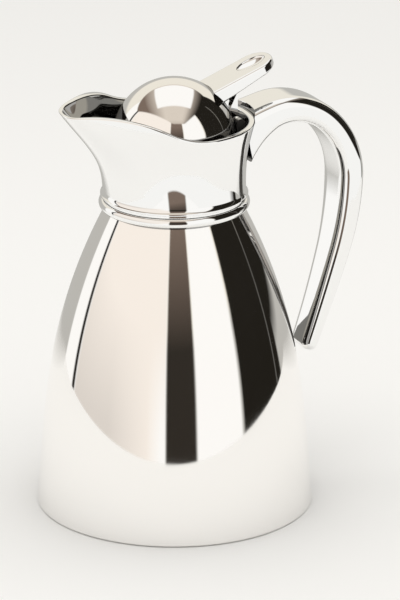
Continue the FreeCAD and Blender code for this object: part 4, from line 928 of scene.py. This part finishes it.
class JUG_OT_stage(bpy.types.Operator):
    """Set the camera, the table top, the lamp and the studio round the jug"""
    bl_idname = "jug.stage"
    bl_label = "Stage"

    TABLE_SIZE = 8
    TABLE_CLOUD = 0.995
    TABLE_EDGE = (0.99, 1.01)

    # Cards of the studio: colour, the degrees to the camera's right where one starts and ends,
    # and the height angle of its lower edge
    CARDS = (
        ("white_card", -125, -8, -90),
        ("black_card", -107, -103, -90),
        ("warm_card", -102, -8, -15),
        ("white_card", 20, 62, -90),
        ("black_card", 64, 108, -90),
        ("black_card", 108, 116, -90),
        ("black_card", 114, 136, -4),
    )
    SIDE_SOFT = 1
    FOOT_SOFT = 2

    # Degrees to the camera's right
    OPENING = (-7, 19)
    WARM_FAR = (-20, -60)
    WARM_NEAR = (-24, -12)
    TABLE_SIDES = (110, 100)

    # Degrees of height
    WALL_RISE = (10, 15)
    WARM_FOOT = (14, -8)
    GAP_RISE = (10, 37)
    GAP_FALL = (-11, -20)
    BRINK_SOFT = (0.6, -0.6)

    # Places on a ceiling one unit above the jug, to the right or towards the camera
    LEAST_RISE = 0.05
    GLOW_SIDE = (0.9, 0.3)
    GLOW_FRONT = (1.8, 0.8)
    DARK_SIDE = (0.4, 0.8)
    SHADE_SIDE = (0.53, 0.48)
    SHADE_FRONT = (0.21, 0.15)
    SHADE_REAR = (-0.97, -0.92)
    CEILING_WIDTH = 1.6
    CEILING_EDGE = (1.2, 1.0)
    LEFT_EDGE = (1.15, 1.05)
    RIGHT_SLANT = 2.36
    RIGHT_EDGE = (2.28, 2.06)

    # The ray's depth is 2 after one reflection
    DIMMING = (2, 3.5)
    FILL_TINT = (1.0, 0.99, 0.975, 1)
    BLACK = (0, 0, 0, 1)

    def camera(self, context, stage):
        turn, lift = stage.azimuth, stage.elevation
        level = math.cos(lift)
        right = Vector((math.cos(turn), math.sin(turn), 0))
        back = Vector((math.sin(turn) * level, -math.cos(turn) * level, math.sin(lift)))
        up = back.cross(right)
        aim = Vector((0, 0, stage.aim_height)) + right * stage.aim_right - up * stage.aim_down
        lens = bpy.data.cameras.new("jug_camera")
        lens.lens = stage.lens
        lens.sensor_width = 36
        lens.clip_end = 50
        camera = bpy.data.objects.new("jug_camera", lens)
        context.scene.collection.objects.link(camera)
        facing = Matrix((right, up, back)).transposed()
        camera.matrix_world = Matrix.LocRotScale(aim + back * stage.distance, facing, None)
        context.scene.camera = camera

    def table(self, context, stage):
        """Pale table top; in the metal it has a round front edge and fades away behind the jug."""
        deselect()
        bpy.ops.mesh.primitive_grid_add(x_subdivisions=8, y_subdivisions=8, size=self.TABLE_SIZE)
        top = context.object
        top.name = "table_top"
        material = bpy.data.materials.new("pale_table")
        material.use_nodes = True
        tree = material.node_tree
        tree.nodes.clear()
        place = node(tree, "ShaderNodeTexCoord").outputs["Object"]
        cloud = noise(tree, place, scale=3.0, in_Detail=3.0)
        darker = [part * self.TABLE_CLOUD for part in stage.floor]
        paper = node(tree, "ShaderNodeBsdfDiffuse")
        put(tree, paper.inputs["Color"], blend(tree, cloud, paint(darker), paint(stage.floor)))
        right, back, _ = turned_with_camera(tree, place, stage)
        back = reckon(tree, "SUBTRACT", back, stage.table_back)
        wide = reckon(tree, "DIVIDE", right, stage.table_side)
        deep = reckon(tree, "DIVIDE", reckon(tree, "MINIMUM", back, 0), stage.table_front)
        square = reckon(tree, "POWER", deep, 2)
        reach = reckon(tree, "SQRT", reckon(tree, "MULTIPLY_ADD", wide, wide, square))
        ahead = fade(tree, reach, *self.TABLE_EDGE)
        behind = fade(tree, back, stage.table_rear, stage.table_rear + stage.table_fade)
        ray = node(tree, "ShaderNodeLightPath").outputs
        hidden = both(tree, reckon(tree, "MAXIMUM", ahead, behind), ray["Is Glossy Ray"])
        clear = node(tree, "ShaderNodeBsdfTransparent")
        mix = mixed_shader(tree, hidden, paper.outputs["BSDF"], clear.outputs["BSDF"])
        out = node(tree, "ShaderNodeOutputMaterial")
        put(tree, out.inputs["Surface"], mix)
        top.data.materials.append(material)

    def lamp(self, context, stage):
        """Large soft lamp overhead and a little in front of the jug."""
        size = 1.05
        height = 1.25
        ahead = 0.05
        shade = bpy.data.lights.new("soft_lamp", "AREA")
        shade.shape = "RECTANGLE"
        shade.size = size
        shade.size_y = size
        shade.energy = stage.lamp * math.pi * size * size
        shade.color = (1.0, 0.985, 0.96)
        lamp = bpy.data.objects.new("soft_lamp", shade)
        context.scene.collection.objects.link(lamp)
        turn = stage.azimuth
        lamp.location = (ahead * math.sin(turn), -ahead * math.cos(turn), height)
        lamp.rotation_euler = (0, 0, turn)
        lamp.visible_glossy = False

    def sides(self, tree, stage, bearing, height):
        """Colour of the wall with its cards and opening, and of the table below it."""
        def across(start, end):
            return fade(tree, bearing, math.radians(start), math.radians(end))

        def rising(start, end):
            return fade(tree, height, math.radians(start), math.radians(end))

        def between(start, end):
            soft = self.SIDE_SOFT
            return both(tree, across(start - soft, start + soft), across(end + soft, end - soft))

        low = rising(*self.WARM_FOOT)
        dull = both(tree, low, across(*self.WARM_FAR))
        pale = both(tree, low, across(*self.WARM_NEAR))
        warm = blend(tree, dull, paint(stage.warm_card), paint(stage.dull_card))
        warm = blend(tree, pale, warm, paint(stage.white_card))
        raised = rising(*self.WALL_RISE)
        wall = blend(tree, raised, paint(stage.grey_wall), paint(stage.cream_wall))
        for name, start, end, foot in self.CARDS:
            upper = rising(foot - self.FOOT_SOFT, foot + self.FOOT_SOFT)
            card = both(tree, between(start, end), upper)
            shade = warm if name == "warm_card" else paint(getattr(stage, name))
            wall = blend(tree, card, wall, shade)
        brown = reckon(tree, "MAXIMUM", rising(*self.GAP_RISE), rising(*self.GAP_FALL))
        gap = blend(tree, brown, paint(stage.dark_gap), paint(stage.brown_gap))
        wall = blend(tree, between(*self.OPENING), wall, gap)
        square = reckon(tree, "POWER", bearing, 2)
        curve = math.radians(stage.table_curve)
        bowl = reckon(tree, "MULTIPLY_ADD", square, curve, -stage.table_dip)
        brink = reckon(tree, "MINIMUM", bowl, -stage.table_far)
        over = reckon(tree, "SUBTRACT", height, brink)
        below = fade(tree, over, *map(math.radians, self.BRINK_SOFT))
        turn = reckon(tree, "ABSOLUTE", bearing)
        facing = fade(tree, turn, *map(math.radians, self.TABLE_SIDES))
        return blend(tree, both(tree, below, facing), wall, paint(stage.floor))

    def ceiling(self, tree, stage, right, front, up):
        """Colour of the ceiling with its white shade, and a mask of where it shows."""
        steep = reckon(tree, "MAXIMUM", up, self.LEAST_RISE)
        right = reckon(tree, "DIVIDE", right, steep)
        ahead = reckon(tree, "DIVIDE", front, steep)
        aside = reckon(tree, "ABSOLUTE", right)
        glow = both(tree, fade(tree, aside, *self.GLOW_SIDE), fade(tree, ahead, *self.GLOW_FRONT))
        above = blend(tree, glow, paint(stage.brown_gap), paint(stage.pale_ceiling))
        dark = fade(tree, right, *self.DARK_SIDE)
        above = blend(tree, dark, above, paint(stage.black_card))
        deep = both(tree, fade(tree, ahead, *self.SHADE_FRONT), fade(tree, ahead, *self.SHADE_REAR))
        shade = both(tree, fade(tree, aside, *self.SHADE_SIDE), deep)
        above = blend(tree, shade, above, paint(stage.white_card))
        wide = reckon(tree, "POWER", reckon(tree, "DIVIDE", right, self.CEILING_WIDTH), 2)
        oval = reckon(tree, "ADD", wide, reckon(tree, "POWER", ahead, 2))
        left_line = reckon(tree, "SUBTRACT", ahead, right)
        right_line = reckon(tree, "MULTIPLY_ADD", right, self.RIGHT_SLANT, ahead)
        cards = both(tree, fade(tree, left_line, *self.LEFT_EDGE),
                     fade(tree, right_line, *self.RIGHT_EDGE))
        return above, both(tree, fade(tree, oval, *self.CEILING_EDGE), cards)

    def studio(self, context, stage):
        """World: even light for matt surfaces; wall, cards, table and ceiling for polished ones."""
        world = bpy.data.worlds.new("studio")
        context.scene.world = world
        world.use_nodes = True
        tree = world.node_tree
        tree.nodes.clear()
        ray = node(tree, "ShaderNodeLightPath").outputs
        way = node(tree, "ShaderNodeTexCoord").outputs["Generated"]
        right, back, up = turned_with_camera(tree, way, stage)
        front = reckon(tree, "MULTIPLY", back, -1)
        bearing = reckon(tree, "ARCTAN2", right, front)
        sides = self.sides(tree, stage, bearing, reckon(tree, "ARCSINE", up))
        above, edge = self.ceiling(tree, stage, right, front, up)
        room = blend(tree, edge, sides, above)
        again = fade(tree, ray["Ray Depth"], *self.DIMMING)
        room = blend(tree, both(tree, again, stage.second_dim), room, self.BLACK)
        lights = []
        for shade, strength in ((room, 1.0), (self.FILL_TINT, stage.fill),
                                (paint(stage.background), 1.0)):
            light = node(tree, "ShaderNodeBackground", in_Strength=strength)
            put(tree, light.inputs["Color"], shade)
            lights.append(light.outputs["Background"])
        polished, even, plain = lights
        lit = mixed_shader(tree, ray["Is Glossy Ray"], even, polished)
        seen = mixed_shader(tree, ray["Is Camera Ray"], lit, plain)
        out = node(tree, "ShaderNodeOutputWorld")
        put(tree, out.inputs["Surface"], seen)

    def execute(self, context):
        stage = context.scene.jug_stage
        self.camera(context, stage)
        self.table(context, stage)
        self.lamp(context, stage)
        self.studio(context, stage)
        context.scene.view_settings.view_transform = "Standard"
        return {"FINISHED"}


class JUG_PT_build(bpy.types.Panel):
    """Buttons for the jug's pieces and stage"""
    bl_idname = "JUG_PT_build"
    bl_label = "Jug"
    bl_space_type = "VIEW_3D"
    bl_region_type = "UI"
    bl_category = "Jug"

    def draw(self, context):
        for operator in OPERATORS:
            self.layout.operator(operator.bl_idname)


GROUPS = {
    "jug_casing": CasingSizes,
    "jug_collar": CollarSizes,
    "jug_handle": HandleSizes,
    "jug_lever": LeverSizes,
    "jug_finishes": FinishColours,
    "jug_stage": StageSettings,
}
OPERATORS = (
    JUG_OT_casing,
    JUG_OT_waist_ring,
    JUG_OT_collar,
    JUG_OT_handle,
    JUG_OT_dome,
    JUG_OT_lever,
    JUG_OT_inner_pieces,
    JUG_OT_stage,
)


def register():
    for group in GROUPS.values():
        bpy.utils.register_class(group)
    for name, group in GROUPS.items():
        setattr(bpy.types.Scene, name, PointerProperty(type=group))
    for operator in OPERATORS:
        bpy.utils.register_class(operator)
    bpy.utils.register_class(JUG_PT_build)


def unregister():
    bpy.utils.unregister_class(JUG_PT_build)
    for operator in reversed(OPERATORS):
        bpy.utils.unregister_class(operator)
    for name, group in reversed(GROUPS.items()):
        delattr(bpy.types.Scene, name)
        bpy.utils.unregister_class(group)


def main():
    """Build every piece and the stage."""
    register()
    bpy.ops.jug.casing()
    bpy.ops.jug.waist_ring()
    bpy.ops.jug.collar()
    bpy.ops.jug.handle()
    bpy.ops.jug.dome()
    bpy.ops.jug.lever()
    bpy.ops.jug.inner_pieces()
    bpy.ops.jug.stage()


if __name__ == "__main__":
    main()
